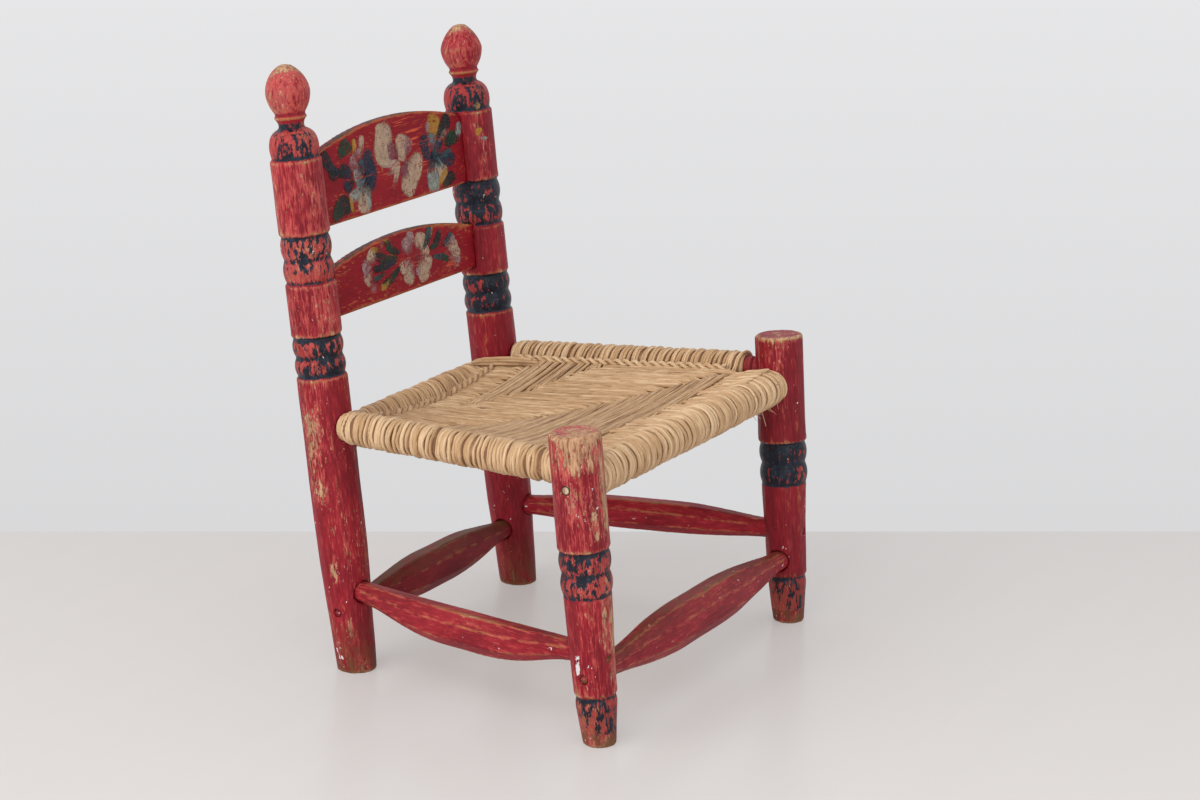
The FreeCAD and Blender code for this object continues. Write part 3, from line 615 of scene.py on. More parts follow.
parts = joined("SeparateXYZ", place).outputs
sawn = step_node(math_node("ABSOLUTE", parts["X"]), RAIL_END, RAIL_END + 0.0005)
rings = noise_node(place, 240.0, (0.2, 1.0, 0.3), 4.0, 0.6)
end_grain = mix_node(step_node(rings, 0.40, 0.62), RING_DARK, RING_PALE)
flat = joined("CombineXYZ", Y=parts["Y"], Z=parts["Z"]).outputs["Vector"]
from_axis = joined("VectorMath", flat, RAIL_AXIS, operation="DISTANCE").outputs["Value"]
# The dark ring round the pale core is painted shade, as of the gap between the rail end and its hole.
end_grain = mix_node(step_node(from_axis, END_PALE, END_SHADE_REACH), end_grain, END_RIM_SHADE)
fill(shader, Base_Color=mix_node(sawn, coat.outputs["Color"], end_grain))
for name in ("front_seat_rail", "rear_seat_rail", "right_seat_rail", "left_seat_rail"):
    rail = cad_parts[name]
    rail.data.materials.clear()
    rail.data.materials.append(rail_paint)

# The two back slats: flat boards with an arched top, let into slots in the rear posts. The paint is
# smoother than on the posts, scratched along the grain and worn off the long edges.
SLAT_VOXEL = 0.0012
SLAT_SLACK = 0.00012
SCRAPES = ((0.032, 0.457, 0.034, 0.012), (-0.004, 0.427, 0.016, 0.006), (0.060, 0.441, 0.022, 0.006),
           (-0.012, 0.414, 0.020, 0.004))
slat_up = Vector(rear_axis)
slat_out = Vector((0.0, -math.cos(RAKE_REAR), math.sin(RAKE_REAR)))
scratched, given, made = tree_of(
    "grain_scratches", {"Vector": ("Grain",), "Float": ("Amount",), "Color": ("Under", "Scratch")},
    {"Color": ("Color",)})
line = noise_node(given["Grain"], 620.0, (1.0, 1.0, 0.055), 3.0, 0.6)
where = noise_node(given["Grain"], 60.0, (1.0, 1.0, 0.4), 3.0)
where = sum_node((where, 1.0), (given["Amount"], 1.0))
cut = math_node("MULTIPLY", step_node(line, 0.57, 0.62),
                step_node(where, 0.55, 0.66))
fill(made, Color=mix_node(cut, given["Under"], given["Scratch"]))
slat_paint, tree, shader = new_material("slat_paint", Specular_IOR_Level=0.10)
grain_at = attribute_node(tree, "grain", "Vector")
coat = joined("Group", node_tree=worn, Grain=grain_at, Edge=attribute_node(tree, "edge"), Wear=-0.10,
              Specks=0.140, Soiled=attribute_node(tree, "soiled"), Coat=(0.275, 0.009, 0.017, 1.0),
              Deep_Coat=(0.180, 0.006, 0.012, 1.0), Rubbed=(0.42, 0.045, 0.035, 1.0),
              Ridge=(0.400, 0.110, 0.040, 1.0), Wood=(0.50, 0.17, 0.055, 1.0),
              Soil=(0.055, 0.035, 0.030, 1.0)).outputs
lined = joined("Group", node_tree=scratched, Grain=grain_at, Under=coat["Color"],
               Scratch=(0.56, 0.085, 0.04, 1.0), Amount=attribute_node(tree, "scraped")).outputs
fill(shader, Base_Color=lined["Color"], Roughness=coat["Roughness"],
     Normal=bump_node(coat["Height"], 0.0004, 0.4))


def scraped_at(across, up):
    """How much of the paint has been scratched through at a place on the slats."""
    amount = -0.02
    for middle, level, wide, tall in SCRAPES:
        far = ((across - middle) / wide) ** 2 + ((up - level) / tall) ** 2
        amount = max(amount, 0.22 * (1.0 - min(1.0, far * 0.5)))
    return amount


for name in ("crest_slat", "lower_slat"):
    piece, grain = worked(name, SLAT_VOXEL, (0.0, REAR_FOOT[1], 0.0), (1.0, 0.0, 0.0), SLAT_SLACK)
    upward = rows_of(piece.data.vertex_normals, "vector", 3) @ np.array(slat_up)
    set_masks(piece, scraped=[scraped_at(spot[2], math.hypot(spot[0], spot[1])) for spot in grain],
              soiled=ramp(upward, 0.55, 0.25))
    piece.data.materials.append(slat_paint)
    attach(piece, "root")
    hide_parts(name)

# The flowers on the slats: loaded-brush strokes of oil paint, each pressed down and drawn to a tip.
# A stroke is (root, pressed end, width, bow, end colour, root colour, dry share), in mm across the
# slat and up its face. It runs dry toward its root and along one flank; a negative width swaps flanks.
SLAT_FACE = 0.0045
STROKE_LIFT = 0.00022
STROKE_ROWS = 17
STROKE_LANES = 10
MM = 0.001
CREAM = (0.445, 0.308, 0.208)
PINK = (0.340, 0.175, 0.155)
ROSE = (0.195, 0.052, 0.066)
LILAC = (0.330, 0.205, 0.205)
MIST = (0.260, 0.285, 0.245)
SEA = (0.085, 0.160, 0.170)
NAVY = (0.012, 0.020, 0.042)
TEAL = (0.022, 0.062, 0.072)
GREEN = (0.010, 0.040, 0.020)
DARK = (0.007, 0.013, 0.013)
OCHRE = (0.380, 0.185, 0.025)
GRIT = (0.10, 0.030, 0.030, 1.0)
DAB_TURN = math.radians(-35.0)
DAB_RADIUS = 0.0230
SLAT_HALF = 0.113
CREST_STROKES = (
    ((-1, 478), (-16, 433), 38, -1, CREAM, CREAM, 0.24), ((-15, 431), (-8, 474), -37, 0, CREAM, CREAM, 0.22),
    ((16, 434), (-23, 441), -13, 2, CREAM, LILAC, 0.20), ((-8, 459), (3, 438), 22, 1, ROSE, ROSE, 0.34),
    ((2, 455), (9, 439), 10, 0, ROSE, PINK, 0.70),
    ((15, 433), (28, 455), 25, 1, LILAC, ROSE, 0.50), ((13, 431), (20, 459), -26, 1, CREAM, CREAM, 0.34),
    ((20, 457), (14, 433), 19, 0, CREAM, CREAM, 0.34),
    ((10, 404), (45, 436), 26, -2, CREAM, CREAM, 0.22), ((42, 441), (13, 402), -33, 0, CREAM, CREAM, 0.24),
    ((13, 433), (45, 432), 9, -1, CREAM, PINK, 0.30), ((26, 414), (13, 431), 22, 1, ROSE, ROSE, 0.34),
    ((34, 427), (15, 431), 10, 0, ROSE, PINK, 0.75),
    ((-15, 425), (11, 434), 11, -1, CREAM, LILAC, 0.34), ((-4, 408), (9, 433), 11, 1, CREAM, LILAC, 0.34),
    ((-47, 446), (-43, 468), 13, 1, CREAM, LILAC, 0.45), ((-50, 430), (-62, 453), 17, 3, LILAC, SEA, 0.55),
    ((-46, 434), (-52, 457), 15, 2, LILAC, NAVY, 0.60), ((-42, 415), (-38, 455), 21, -3, NAVY, NAVY, 0.15),
    ((-40, 428), (-50, 447), 15, 2, TEAL, NAVY, 0.35), ((-38, 412), (-33, 444), 17, -3, NAVY, NAVY, 0.10),
    ((-42, 434), (-62, 433), 19, 1, MIST, NAVY, 0.38), ((-40, 432), (-60, 426), 15, 2, SEA, NAVY, 0.30),
    ((-40, 430), (-72, 414), 16, 3, MIST, NAVY, 0.38), ((-39, 434), (-53, 396), 29, -1, CREAM, TEAL, 0.26),
    ((-38, 431), (-43, 399), 14, -3, MIST, NAVY, 0.42),
    ((-52, 409), (-39, 436), 16, -2, NAVY, NAVY, 0.60), ((-43, 406), (-37, 434), 13, -1, NAVY, TEAL, 0.60),
    ((-82, 452), (-60, 462), 20, 3, GREEN, GREEN, 0.05), ((-60, 448), (-56, 467), 9, -2, OCHRE, OCHRE, 0.25),
    ((-80, 438), (-106, 464), 17, 3, DARK, NAVY, 0.05), ((-76, 440), (-98, 444), 17, 2, DARK, DARK, 0.10),
    ((-62, 432), (-82, 442), 19, -2, DARK, NAVY, 0.10), ((-60, 430), (-78, 426), 15, 2, NAVY, DARK, 0.10),
    ((-100, 399), (-69, 412), 26, 4, DARK, GREEN, 0.05), ((-66, 398), (-69, 418), 9, 2, OCHRE, OCHRE, 0.20),
    ((70, 444), (96, 465), 22, -3, DARK, GREEN, 0.08), ((62, 442), (74, 468), 28, 2, OCHRE, OCHRE, 0.20),
    ((58, 442), (61, 463), 14, 0, LILAC, NAVY, 0.50), ((60, 420), (50, 453), 19, 2, NAVY, NAVY, 0.15),
    ((60, 426), (64, 453), 21, -2, SEA, NAVY, 0.45), ((60, 428), (80, 447), 17, -2, NAVY, TEAL, 0.30),
    ((66, 430), (90, 452), 11, 2, PINK, MIST, 0.60), ((80, 436), (109, 440), 18, 4, GREEN, GREEN, 0.15),
    ((84, 433), (100, 448), 15, -2, GREEN, DARK, 0.15), ((101, 434), (112, 455), 14, -1, MIST, NAVY, 0.30),
    ((58, 430), (100, 424), 18, -4, NAVY, NAVY, 0.15), ((60, 431), (95, 431), 14, -3, TEAL, NAVY, 0.30),
    ((65, 433), (79, 406), 27, 1, CREAM, SEA, 0.26), ((64, 434), (60, 396), 31, 1, MIST, TEAL, 0.26),
    ((58, 406), (63, 436), 13, 1, NAVY, NAVY, 0.60), ((74, 412), (64, 436), 13, -1, TEAL, NAVY, 0.60),
    ((66, 398), (84, 415), 14, 2, OCHRE, OCHRE, 0.20), ((74, 397), (96, 408), 16, 2, DARK, GREEN, 0.08))
LOWER_STROKES = (
    ((9, 344), (14, 371), 18, 1, LILAC, PINK, 0.40), ((9, 345), (2, 365), 19, -1, LILAC, LILAC, 0.42),
    ((25, 344), (31, 366), 25, 2, CREAM, PINK, 0.30), ((24, 344), (40, 352), 25, 2, CREAM, PINK, 0.30),
    ((13, 346), (-8, 336), 20, 2, CREAM, LILAC, 0.34), ((13, 346), (4, 321), 24, -1, CREAM, LILAC, 0.32),
    ((23, 346), (44, 333), 21, -2, CREAM, PINK, 0.34), ((24, 346), (31, 319), 26, 1, CREAM, CREAM, 0.32),
    ((24, 343), (20, 326), 13, 1, LILAC, PINK, 0.60), ((16, 352), (20, 336), 11, 2, ROSE, ROSE, 0.70),
    ((-1, 353), (-27, 369), 12, 4, GREEN, DARK, 0.05), ((-14, 364), (-29, 372), 8, 1, OCHRE, GREEN, 0.40),
    ((-5, 350), (-47, 361), 12, 4, DARK, GREEN, 0.05), ((-28, 360), (-49, 365), 8, 1, OCHRE, GREEN, 0.40),
    ((-8, 347), (-50, 346), 11, 1, DARK, NAVY, 0.05), ((-3, 343), (-38, 328), 11, 2, GREEN, DARK, 0.05),
    ((-20, 335), (-41, 326), 10, 1, OCHRE, OCHRE, 0.35), ((-29, 340), (-50, 336), 8, 0, TEAL, GREEN, 0.15),
    ((-42, 350), (-56, 361), 21, -3, CREAM, LILAC, 0.40), ((-44, 352), (-65, 347), 21, -2, LILAC, PINK, 0.42),
    ((-47, 349), (-60, 333), 19, -3, CREAM, LILAC, 0.46), ((-48, 340), (-50, 325), 15, -1, LILAC, PINK, 0.65),
    ((-34, 361), (-31, 371), 10, 0, PINK, CREAM, 0.70),
    ((30, 348), (46, 370), 13, -3, TEAL, GREEN, 0.05), ((40, 354), (51, 370), 6, -2, OCHRE, GREEN, 0.40),
    ((39, 347), (62, 361), 13, -4, DARK, GREEN, 0.05), ((59, 345), (81, 355), 12, -1, TEAL, DARK, 0.15),
    ((43, 340), (72, 332), 9, 1, GREEN, TEAL, 0.05), ((59, 346), (85, 351), 15, 0, LILAC, PINK, 0.55),
    ((61, 341), (89, 344), 15, 1, CREAM, LILAC, 0.45), ((63, 337), (92, 336), 15, 1, CREAM, PINK, 0.45),
    ((66, 332), (91, 329), 13, 1, LILAC, CREAM, 0.50), ((73, 328), (85, 324), 8, 0, PINK, LILAC, 0.65))
DAB_STROKES = (((-5, 438), (9, 436), 5, 0, MIST, MIST, 0.50), ((-3, 439), (2, 447), 8, 0, OCHRE, OCHRE, 0.05),
               ((-4, 471), (4, 466), 9, 0, OCHRE, MIST, 0.40))
brushed, given, made = tree_of(
    "brush_stroke", {"Vector": ("Run", "Load"), "Color": ("First", "Second")},
    {"Color": ("Color",), "Float": ("Alpha", "Height")})
aside_at, run_at, dry_at = joined("SeparateXYZ", given["Load"]).outputs
hair = noise_node(given["Run"], 0.62, (1.3, 0.14, 1.0), 4.0, 0.62)
blot = noise_node(given["Run"], 0.17, (1.0, 0.7, 1.0), 3.0)
grit = noise_node(given["Run"], 0.50, (0.50, 1.05, 1.0), 5.0, 0.66)
blend = sum_node((run_at, 1.0), (hair, 0.5, 1.3), (blot, 0.5, 0.9))
colour = mix_node(step_node(blend, 0.15, 0.80), given["Second"], given["First"])
colour = mix_node(step_node(grit, 0.50, 0.70), colour, GRIT, 0.22)
lateral = sum_node((aside_at, 1.0), (hair, 0.5, 0.22), (blot, 0.5, 0.40))
feather = math_node("DIVIDE", math_node("SUBTRACT", 1.0, lateral),
                    sum_node((dry_at, 1.2), plus=0.16))
flank = math_node("MULTIPLY", step_node(feather, 0.0, 1.0),
                  step_node(lateral, -1.0, -0.76))
toe = step_node(sum_node((run_at, 1.0), (hair, 0.5, 0.16)), 1.02, 0.90)
rise = math_node("DIVIDE", run_at, sum_node((dry_at, 1.7), plus=0.10))
root = step_node(sum_node((rise, 0.7), (hair, 0.5, 0.8), (blot, 0.5, 0.8)), 0.05, 0.75)
skip = step_node(sum_node((hair, 1.0), (dry_at, 0.16)), 0.84, 0.70)
chip = step_node(grit, 0.615, 0.555)
solid = flank
for mask in (toe, root, skip, chip, sum_node((blot, 0.5, 0.9), plus=0.86)):
    solid = math_node("MULTIPLY", solid, mask)
fill(made, Color=colour, Alpha=solid, Height=hair)
flower_paint, tree, shader = new_material("flower_paint", Specular_IOR_Level=0.25, Roughness=0.55)
stroke = joined("Group", node_tree=brushed, Run=attribute_node(tree, "run", "Vector"),
                Load=attribute_node(tree, "load", "Vector"), First=attribute_node(tree, "first", "Color"),
                Second=attribute_node(tree, "second", "Color")).outputs
lined = joined("Group", node_tree=scratched, Grain=attribute_node(tree, "grain", "Vector"),
               Under=stroke["Color"], Scratch=(0.42, 0.05, 0.03, 1.0),
               Amount=attribute_node(tree, "scraped")).outputs
fill(shader, Base_Color=lined["Color"], Alpha=stroke["Alpha"],
     Normal=bump_node(stroke["Height"], 0.0002, 0.2))


def on_slat(flat, rise):
    return Vector((flat.x, REAR_FOOT[1], 0.0)) + slat_up * flat.y + slat_out * (SLAT_FACE + rise)


def on_left_post(flat, rise):
    """A place on the round of the left rear post, where the painter wiped the brush."""
    turn = DAB_TURN + flat.x / DAB_RADIUS
    out = slat_out * math.cos(turn) + Vector((math.sin(turn), 0.0, 0.0))
    return Vector((REAR_FOOT[0], REAR_FOOT[1], 0.0)) + slat_up * flat.y + out * (DAB_RADIUS + rise)


def new_piece(name, points, faces, material, mend, **fields):
    """An object of its own from points and faces, with fields of values stored on the points."""
    mesh = bpy.data.meshes.new(name)
    mesh.from_pydata([tuple(point) for point in points], [], faces)
    for label, values in fields.items():
        values = np.array(values)
        kind, key = {1: ("FLOAT", "value"), 3: ("FLOAT_VECTOR", "vector"),
                     4: ("FLOAT_COLOR", "color")}[values.size // len(points)]
        mesh.attributes.new(label, kind, "POINT").data.foreach_set(key, values.ravel())
    knit = bmesh.new()
    knit.from_mesh(mesh)
    mend(knit)
    knit.to_mesh(mesh)
    knit.free()
    mesh.shade_smooth()
    mesh.materials.append(material)
    item = bpy.data.objects.new(name, mesh)
    scene.collection.objects.link(item)
    return item


def face_front(knit):
    bmesh.ops.reverse_faces(knit, faces=[face for face in knit.faces if face.normal.dot(slat_out) < 0.0])


for name, strokes, spot_on, lowest, highest, drop in (
        ("crest_flowers", CREST_STROKES, on_slat, 0.3980, 0.4758, 0.0160),
        ("lower_flowers", LOWER_STROKES, on_slat, 0.3168, 0.3701, 0.0145),
        ("post_dabs", DAB_STROKES, on_left_post, 0.30, 0.50, 0.0)):
    points = []
    faces = []
    values = {"run": [], "load": [], "first": [], "second": [], "grain": [], "scraped": []}
    for layer, (begin, end, width, bow, first, second, dry) in enumerate(strokes):
        begin = Vector(begin) * MM
        course = Vector(end) * MM - begin
        aside = Vector((-course.y, course.x)).normalized()
        base = len(points)
        for row in range(STROKE_ROWS):
            share = row / (STROKE_ROWS - 1)
            swell = 0.05 + 1.1 * share ** 0.6 * math.sqrt(1.0 - share ** 4.0)
            spine = begin + course * share + aside * (bow * MM * math.sin(math.pi * share))
            for lane in range(STROKE_LANES + 1):
                off = lane / STROKE_LANES * 2.0 - 1.0
                wander = 1.0 + 0.16 * noise.noise(Vector((layer * 7.3 + off * 1.5, share * 3.0, 1.7)))
                flat = spine + aside * (off * swell * wander * width * MM / 2.0)
                flat.y = min(max(flat.y, lowest), highest - drop * (flat.x / SLAT_HALF) ** 2)
                spot = spot_on(flat, STROKE_LIFT * (1.0 + layer * 0.02) * (1.0 - 0.6 * off ** 4))
                points.append(spot)
                values["run"].append((off * width / 2.0, share * course.length / MM, layer * 3.7))
                values["load"].append((off, share, dry))
                values["first"].append(first + (1.0,))
                values["second"].append(second + (1.0,))
                values["grain"].append((REAR_FOOT[1] - spot.y, -spot.z, spot.x))
                values["scraped"].append(scraped_at(flat.x, flat.y) if spot_on is on_slat else -1.0)
        for row in range(STROKE_ROWS - 1):
            for lane in range(STROKE_LANES):
                corner = base + row * (STROKE_LANES + 1) + lane
                faces.append((corner, corner + 1, corner + STROKE_LANES + 2, corner + STROKE_LANES + 1))
    flowers = new_piece(name, points, faces, flower_paint, face_front, **values)
    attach(flowers, "root")

# The seat warp: split palm strands wound round the front and rear rails, drawn tight from back to
# front. Along a slanting middle field they float over the strands that cross them.
REAR_RAIL = Vector((0.0, 0.13075, 0.2100))
FRONT_RAIL = Vector((0.0, -0.15343, 0.2270))
SIDE_REAR = Vector((0.1357, 0.1324, 0.2245))
SIDE_FRONT = Vector((0.18036, -0.15253, 0.2395))
SIDE_ROLL = 0.0135
FRONT_ROLL = 0.0155
SEAT_REAR, SEAT_MIDDLE, SEAT_FRONT = 0.2120, 0.2200, 0.2375
SEAT_EDGE_LIFT = 0.002
FIELD_SOFT = 0.004
FIELD_END = 0.006
STRAND_THICK = 0.0029
STRAND_RING = 8
FLOAT_RISE = 0.0016
WARP_COUNT = 96
WARP_FRONT, WARP_REAR = 0.1565, 0.1125
WARP_HOLDS = (0.060, 0.050)
WARP_DRIFT = (0.0018, 0.7, 7.0)
WARP_SEED = 0.0
TURN_STEPS, TOP_STEPS, UNDER_STEPS = 12, 72, 26
UNDER_DROP = 0.0085
LEAN_REACH = 0.020
ROLL_SOFT = 0.003
SWAY = (0.0006, 0.0017)
PUFF = 0.0006
THINNED = 0.14
PALM_PALE = (0.745, 0.525, 0.315, 1.0)
PALM_TAN = (0.510, 0.305, 0.152, 1.0)
PALM_BROWN = (0.200, 0.095, 0.044, 1.0)
UP = Vector((0.0, 0.0, 1.0))
shuttle = random.Random(41)


def smooth_step(value, low, high):
    share = min(1.0, max(0.0, (value - low) / (high - low)))
    return share * share * (3.0 - 2.0 * share)


def soft_most(first, second, soft):
    """The larger of two values, rounded where they meet."""
    gap = max(0.0, soft - abs(first - second)) / soft
    return max(first, second) + gap * gap * soft / 4.0


def side_at(y):
    """Axis of the left side rail at a place from back to front; the right one is its mirror."""
    return SIDE_REAR.lerp(SIDE_FRONT, (SIDE_REAR.y - y) / (SIDE_REAR.y - SIDE_FRONT.y))


def seat_height(x, y):
    """The sagging sheet that the strands lie in."""
    share = (REAR_RAIL.y - y) / (REAR_RAIL.y - FRONT_RAIL.y)
    centre = (SEAT_REAR * (1 - share) * (1 - 2 * share) + SEAT_MIDDLE * 4 * share * (1 - share)
              + SEAT_FRONT * share * (2 * share - 1))
    rail = side_at(y)
    return centre + (rail.z + SEAT_EDGE_LIFT - centre) * min(1.2, (x / (rail.x - SIDE_ROLL)) ** 2)


def weft_over(x, y):
    """One where the side-to-side strands float on top, zero where the front-to-back ones do."""
    strip = FRONT_RAIL.y + FRONT_ROLL + 0.006 + 0.016 * smooth_step(-x, -0.14, 0.06)
    front_field = smooth_step((0.010 - 0.643 * (x + 0.052)) - y, -FIELD_SOFT, FIELD_SOFT)
    rear_field = smooth_step(x - 0.016 - (0.067 - y) / 0.528, -FIELD_SOFT, FIELD_SOFT)
    return max(front_field * smooth_step(y, strip, strip + FIELD_END),
               rear_field * smooth_step(0.082 - y, 0.0, FIELD_END))


def wander(strand, run, seed):
    """A smooth random number along a strand, from minus one to one."""
    return noise.noise(Vector((strand, run, seed)))


def belt(strand, rails, radii, leans, pulls, holds, widths, thick, lift, drift, seed):
    """A strand led once round two rails: over the top, down, and back underneath.

    At each rail it leans along the roll and is pulled toward the middle of its bundle, and the pull
    is felt as far from the rail as that end's hold. Going round the rail it sways to and fro.
    """
    first, second = rails
    flat = Vector((second.x - first.x, second.y - first.y, 0.0)).normalized()
    aside = Vector((-flat.y, flat.x, 0.0))
    loose, spacing, beat = drift

    def sway(end, angle):
        return SWAY[end] * wander(strand * 0.83, angle * 1.3, seed + 3.3 + end)

    def turn_point(end, step):
        sense = (-1.0, 1.0)[end]
        angle = sense * math.pi * (0.5 - step / TURN_STEPS)
        out = flat * (sense * radii[end] * math.cos(angle))
        spot = rails[end] + out + UP * (radii[end] * math.sin(angle))
        sideways = leans[end] * (1.0 + 0.5 * math.cos(angle)) + pulls[end] + sway(end, angle)
        return spot + aside * sideways, aside, widths[end], thick

    def span_point(run, under):
        spot = first.lerp(second, run)
        sideways = loose * wander(strand * spacing, run * beat, seed + 7.1) * math.sin(math.pi * run)
        rise = lift(spot.x, spot.y, run) + PUFF * wander(strand * 0.8, run * 9.0, seed + 4.4)
        level = seat_height(spot.x, spot.y)
        level += rise if not under else -UNDER_DROP - rise * 0.8
        for end, rail in enumerate(rails):
            away = math.hypot(spot.x - rail.x, spot.y - rail.y)
            slant = leans[end] + sway(end, -math.pi / 2.0 if under else math.pi / 2.0)
            sideways += slant * max(0.0, 1.0 - away / LEAN_REACH)
            sideways += pulls[end] * (1.0 - smooth_step(away, holds[end] * 0.3, holds[end]))
            if away < radii[end]:
                arc = math.sqrt(radii[end] ** 2 - away ** 2)
                if under:
                    level = -soft_most(-level, arc - rail.z, ROLL_SOFT)
                else:
                    level = soft_most(level, rail.z + arc, ROLL_SOFT)
        spot = spot + aside * sideways
        width = (widths[0] + (widths[1] - widths[0]) * run) * (1.0 - THINNED * math.sin(math.pi * run))
        return Vector((spot.x, spot.y, level)), aside, width, thick

    course = [turn_point(0, step) for step in range(TURN_STEPS)]
    for step in range(TOP_STEPS):
        course.append(span_point(0.5 - 0.5 * math.cos(math.pi * step / TOP_STEPS), False))
    course.extend(turn_point(1, step) for step in range(TURN_STEPS))
    for step in range(UNDER_STEPS):
        course.append(span_point(0.5 + 0.5 * math.cos(math.pi * step / UNDER_STEPS), True))
    return course


def bundles(count, least=2, most=4):
    """For each strand its place in its bundle, from minus one to one."""
    places = []
    while len(places) < count:
        size = shuttle.randint(least, most)
        places.extend((index - (size - 1) / 2.0) / ((size - 1) / 2.0) for index in range(size))
    return places[:count]


def soiled_at(spot):
    """How much browner the palm is where the chair was sat on, and along the rear roll."""
    inner = smooth_step(side_at(spot.y).x - abs(spot.x), 0.010, 0.030) * smooth_step(spot.y, -0.145, -0.125)
    return 0.14 * inner * smooth_step(-spot.y, -0.125, -0.105) + 0.22 * smooth_step(spot.y, 0.105, 0.125)


def face_out(knit):
    bmesh.ops.recalc_face_normals(knit, faces=knit.faces)


def strand_mesh(name, courses, material):
    """Tubes of oval section along courses of (point, flat direction, width, thickness)."""
    points = []
    faces = []
    fibres = []
    tones = []
    for number, (course, tone, closed) in enumerate(courses):
        base = len(points)
        total = len(course)
        run = 0.0
        for index, (spot, flat, width, thick) in enumerate(course):
            ahead = course[(index + 1) % total][0] if closed or index + 1 < total else spot
            behind = course[index - 1][0] if closed or index > 0 else spot
            way = (ahead - behind).normalized()
            lay = (flat - way * flat.dot(way)).normalized()
            rise = way.cross(lay)
            run += (spot - behind).length
            for corner in range(STRAND_RING):
                angle = 2.0 * math.pi * corner / STRAND_RING
                level = rise * (math.sin(angle) * thick / 2.0)
                points.append(spot + lay * (math.cos(angle) * width / 2.0) + level)
                fibres.append((math.cos(angle) * 0.5, run, number * 0.731))
                tones.append(tone + soiled_at(spot))
        for index in range(total if closed else total - 1):
            here = base + index * STRAND_RING
            after = base + (index + 1) % total * STRAND_RING
            for corner in range(STRAND_RING):
                beside = (corner + 1) % STRAND_RING
                faces.append((here + corner, here + beside, after + beside, after + corner))
        if not closed:
            faces.append(tuple(base + corner for corner in reversed(range(STRAND_RING))))
            faces.append(tuple(base + (total - 1) * STRAND_RING + corner for corner in range(STRAND_RING)))
    item = new_piece(name, points, faces, material, face_out, fibre=fibres, tone=tones)
    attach(item, "root")
    return item


fibred, given, made = tree_of(
    "palm_fibre", {"Vector": ("Fibre",), "Float": ("Tone",), "Color": ("Pale", "Tan", "Brown")},
    {"Color": ("Color",), "Float": ("Height", "Roughness")})
thread = noise_node(given["Fibre"], 9.0, (1.4, 2.6, 1.0), 4.0, 0.65)
mottle = noise_node(given["Fibre"], 4.0, (0.4, 16.0, 1.0), 3.0, 0.6)
shade = sum_node((given["Tone"], 1.0), (mottle, 0.5, 1.3), (thread, 0.5, 1.3))
colour = mix_node(step_node(shade, -0.05, 0.55), given["Pale"], given["Tan"])
colour = mix_node(step_node(shade, 0.50, 1.10), colour, given["Brown"])
fill(made, Color=colour, Height=thread, Roughness=sum_node((thread, -1.6, 0.25)))
palm, tree, shader = new_material("palm_strand", Specular_IOR_Level=0.35)
straw = joined("Group", node_tree=fibred, Fibre=attribute_node(tree, "fibre", "Vector"),
               Tone=attribute_node(tree, "tone"), Pale=PALM_PALE, Tan=PALM_TAN, Brown=PALM_BROWN).outputs
fill(shader, Base_Color=straw["Color"], Roughness=straw["Roughness"],
     Normal=bump_node(straw["Height"], 0.0006, 0.7))


def ripple(place, seed):
    """A slow, even wander from strand to strand, so that they bunch."""
    return wander(place, seed, 0.3)


courses = []
rear_bundles = bundles(WARP_COUNT)
front_bundles = bundles(WARP_COUNT)
for strand in range(WARP_COUNT):
    share = (strand + 0.5) / WARP_COUNT * 2.0 - 1.0
    jitter = shuttle.uniform(-0.0005, 0.0005) + 0.0004 * ripple(strand * 0.37, 2.0)
    front = FRONT_RAIL + Vector((share * WARP_FRONT + jitter, 0.0, 0.0))
    rear = REAR_RAIL + Vector((share * WARP_REAR + jitter * 0.5, 0.0, 0.0))
    slip = shuttle.uniform(-0.007, 0.007)
    in_rear, in_front = rear_bundles[strand], front_bundles[strand]
    radii = (SIDE_ROLL + 0.0010 * (1.0 - abs(in_rear)) + shuttle.uniform(-0.0003, 0.0004),
             FRONT_ROLL + 0.0005 * ripple(strand * 0.5, 7.0) + shuttle.uniform(-0.0007, 0.0006))
    leans = (0.006 + 0.003 * ripple(strand * 0.2, 3.0),
             0.003 * share + 0.004 * ripple(strand * 0.17, 4.0) + shuttle.uniform(-0.0013, 0.0013))
    pulls = (0.0008 * in_rear, 0.0002 * in_front)
    widths = (0.0025 * shuttle.uniform(0.9, 1.1), 0.0036 * shuttle.uniform(0.82, 1.15))
    thick = STRAND_THICK * shuttle.uniform(0.88, 1.1)

    def lift(x, y, run):
        dip = 0.7 * max(0.0, math.sin((strand * 2 + run * 58.0) * 0.55)) ** 6
        return FLOAT_RISE * (1.0 - 2.0 * weft_over(x, y + slip)) * (1.0 - dip)

    course = belt(strand, (rear, front), radii, leans, pulls, WARP_HOLDS, widths, thick, lift, WARP_DRIFT,
                  WARP_SEED)
    courses.append((course, 0.29 + shuttle.uniform(-0.22, 0.24), True))
warp = strand_mesh("warp_strands", courses, palm)
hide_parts("seat_warp", "front_rail_wrap", "rear_rail_wrap")

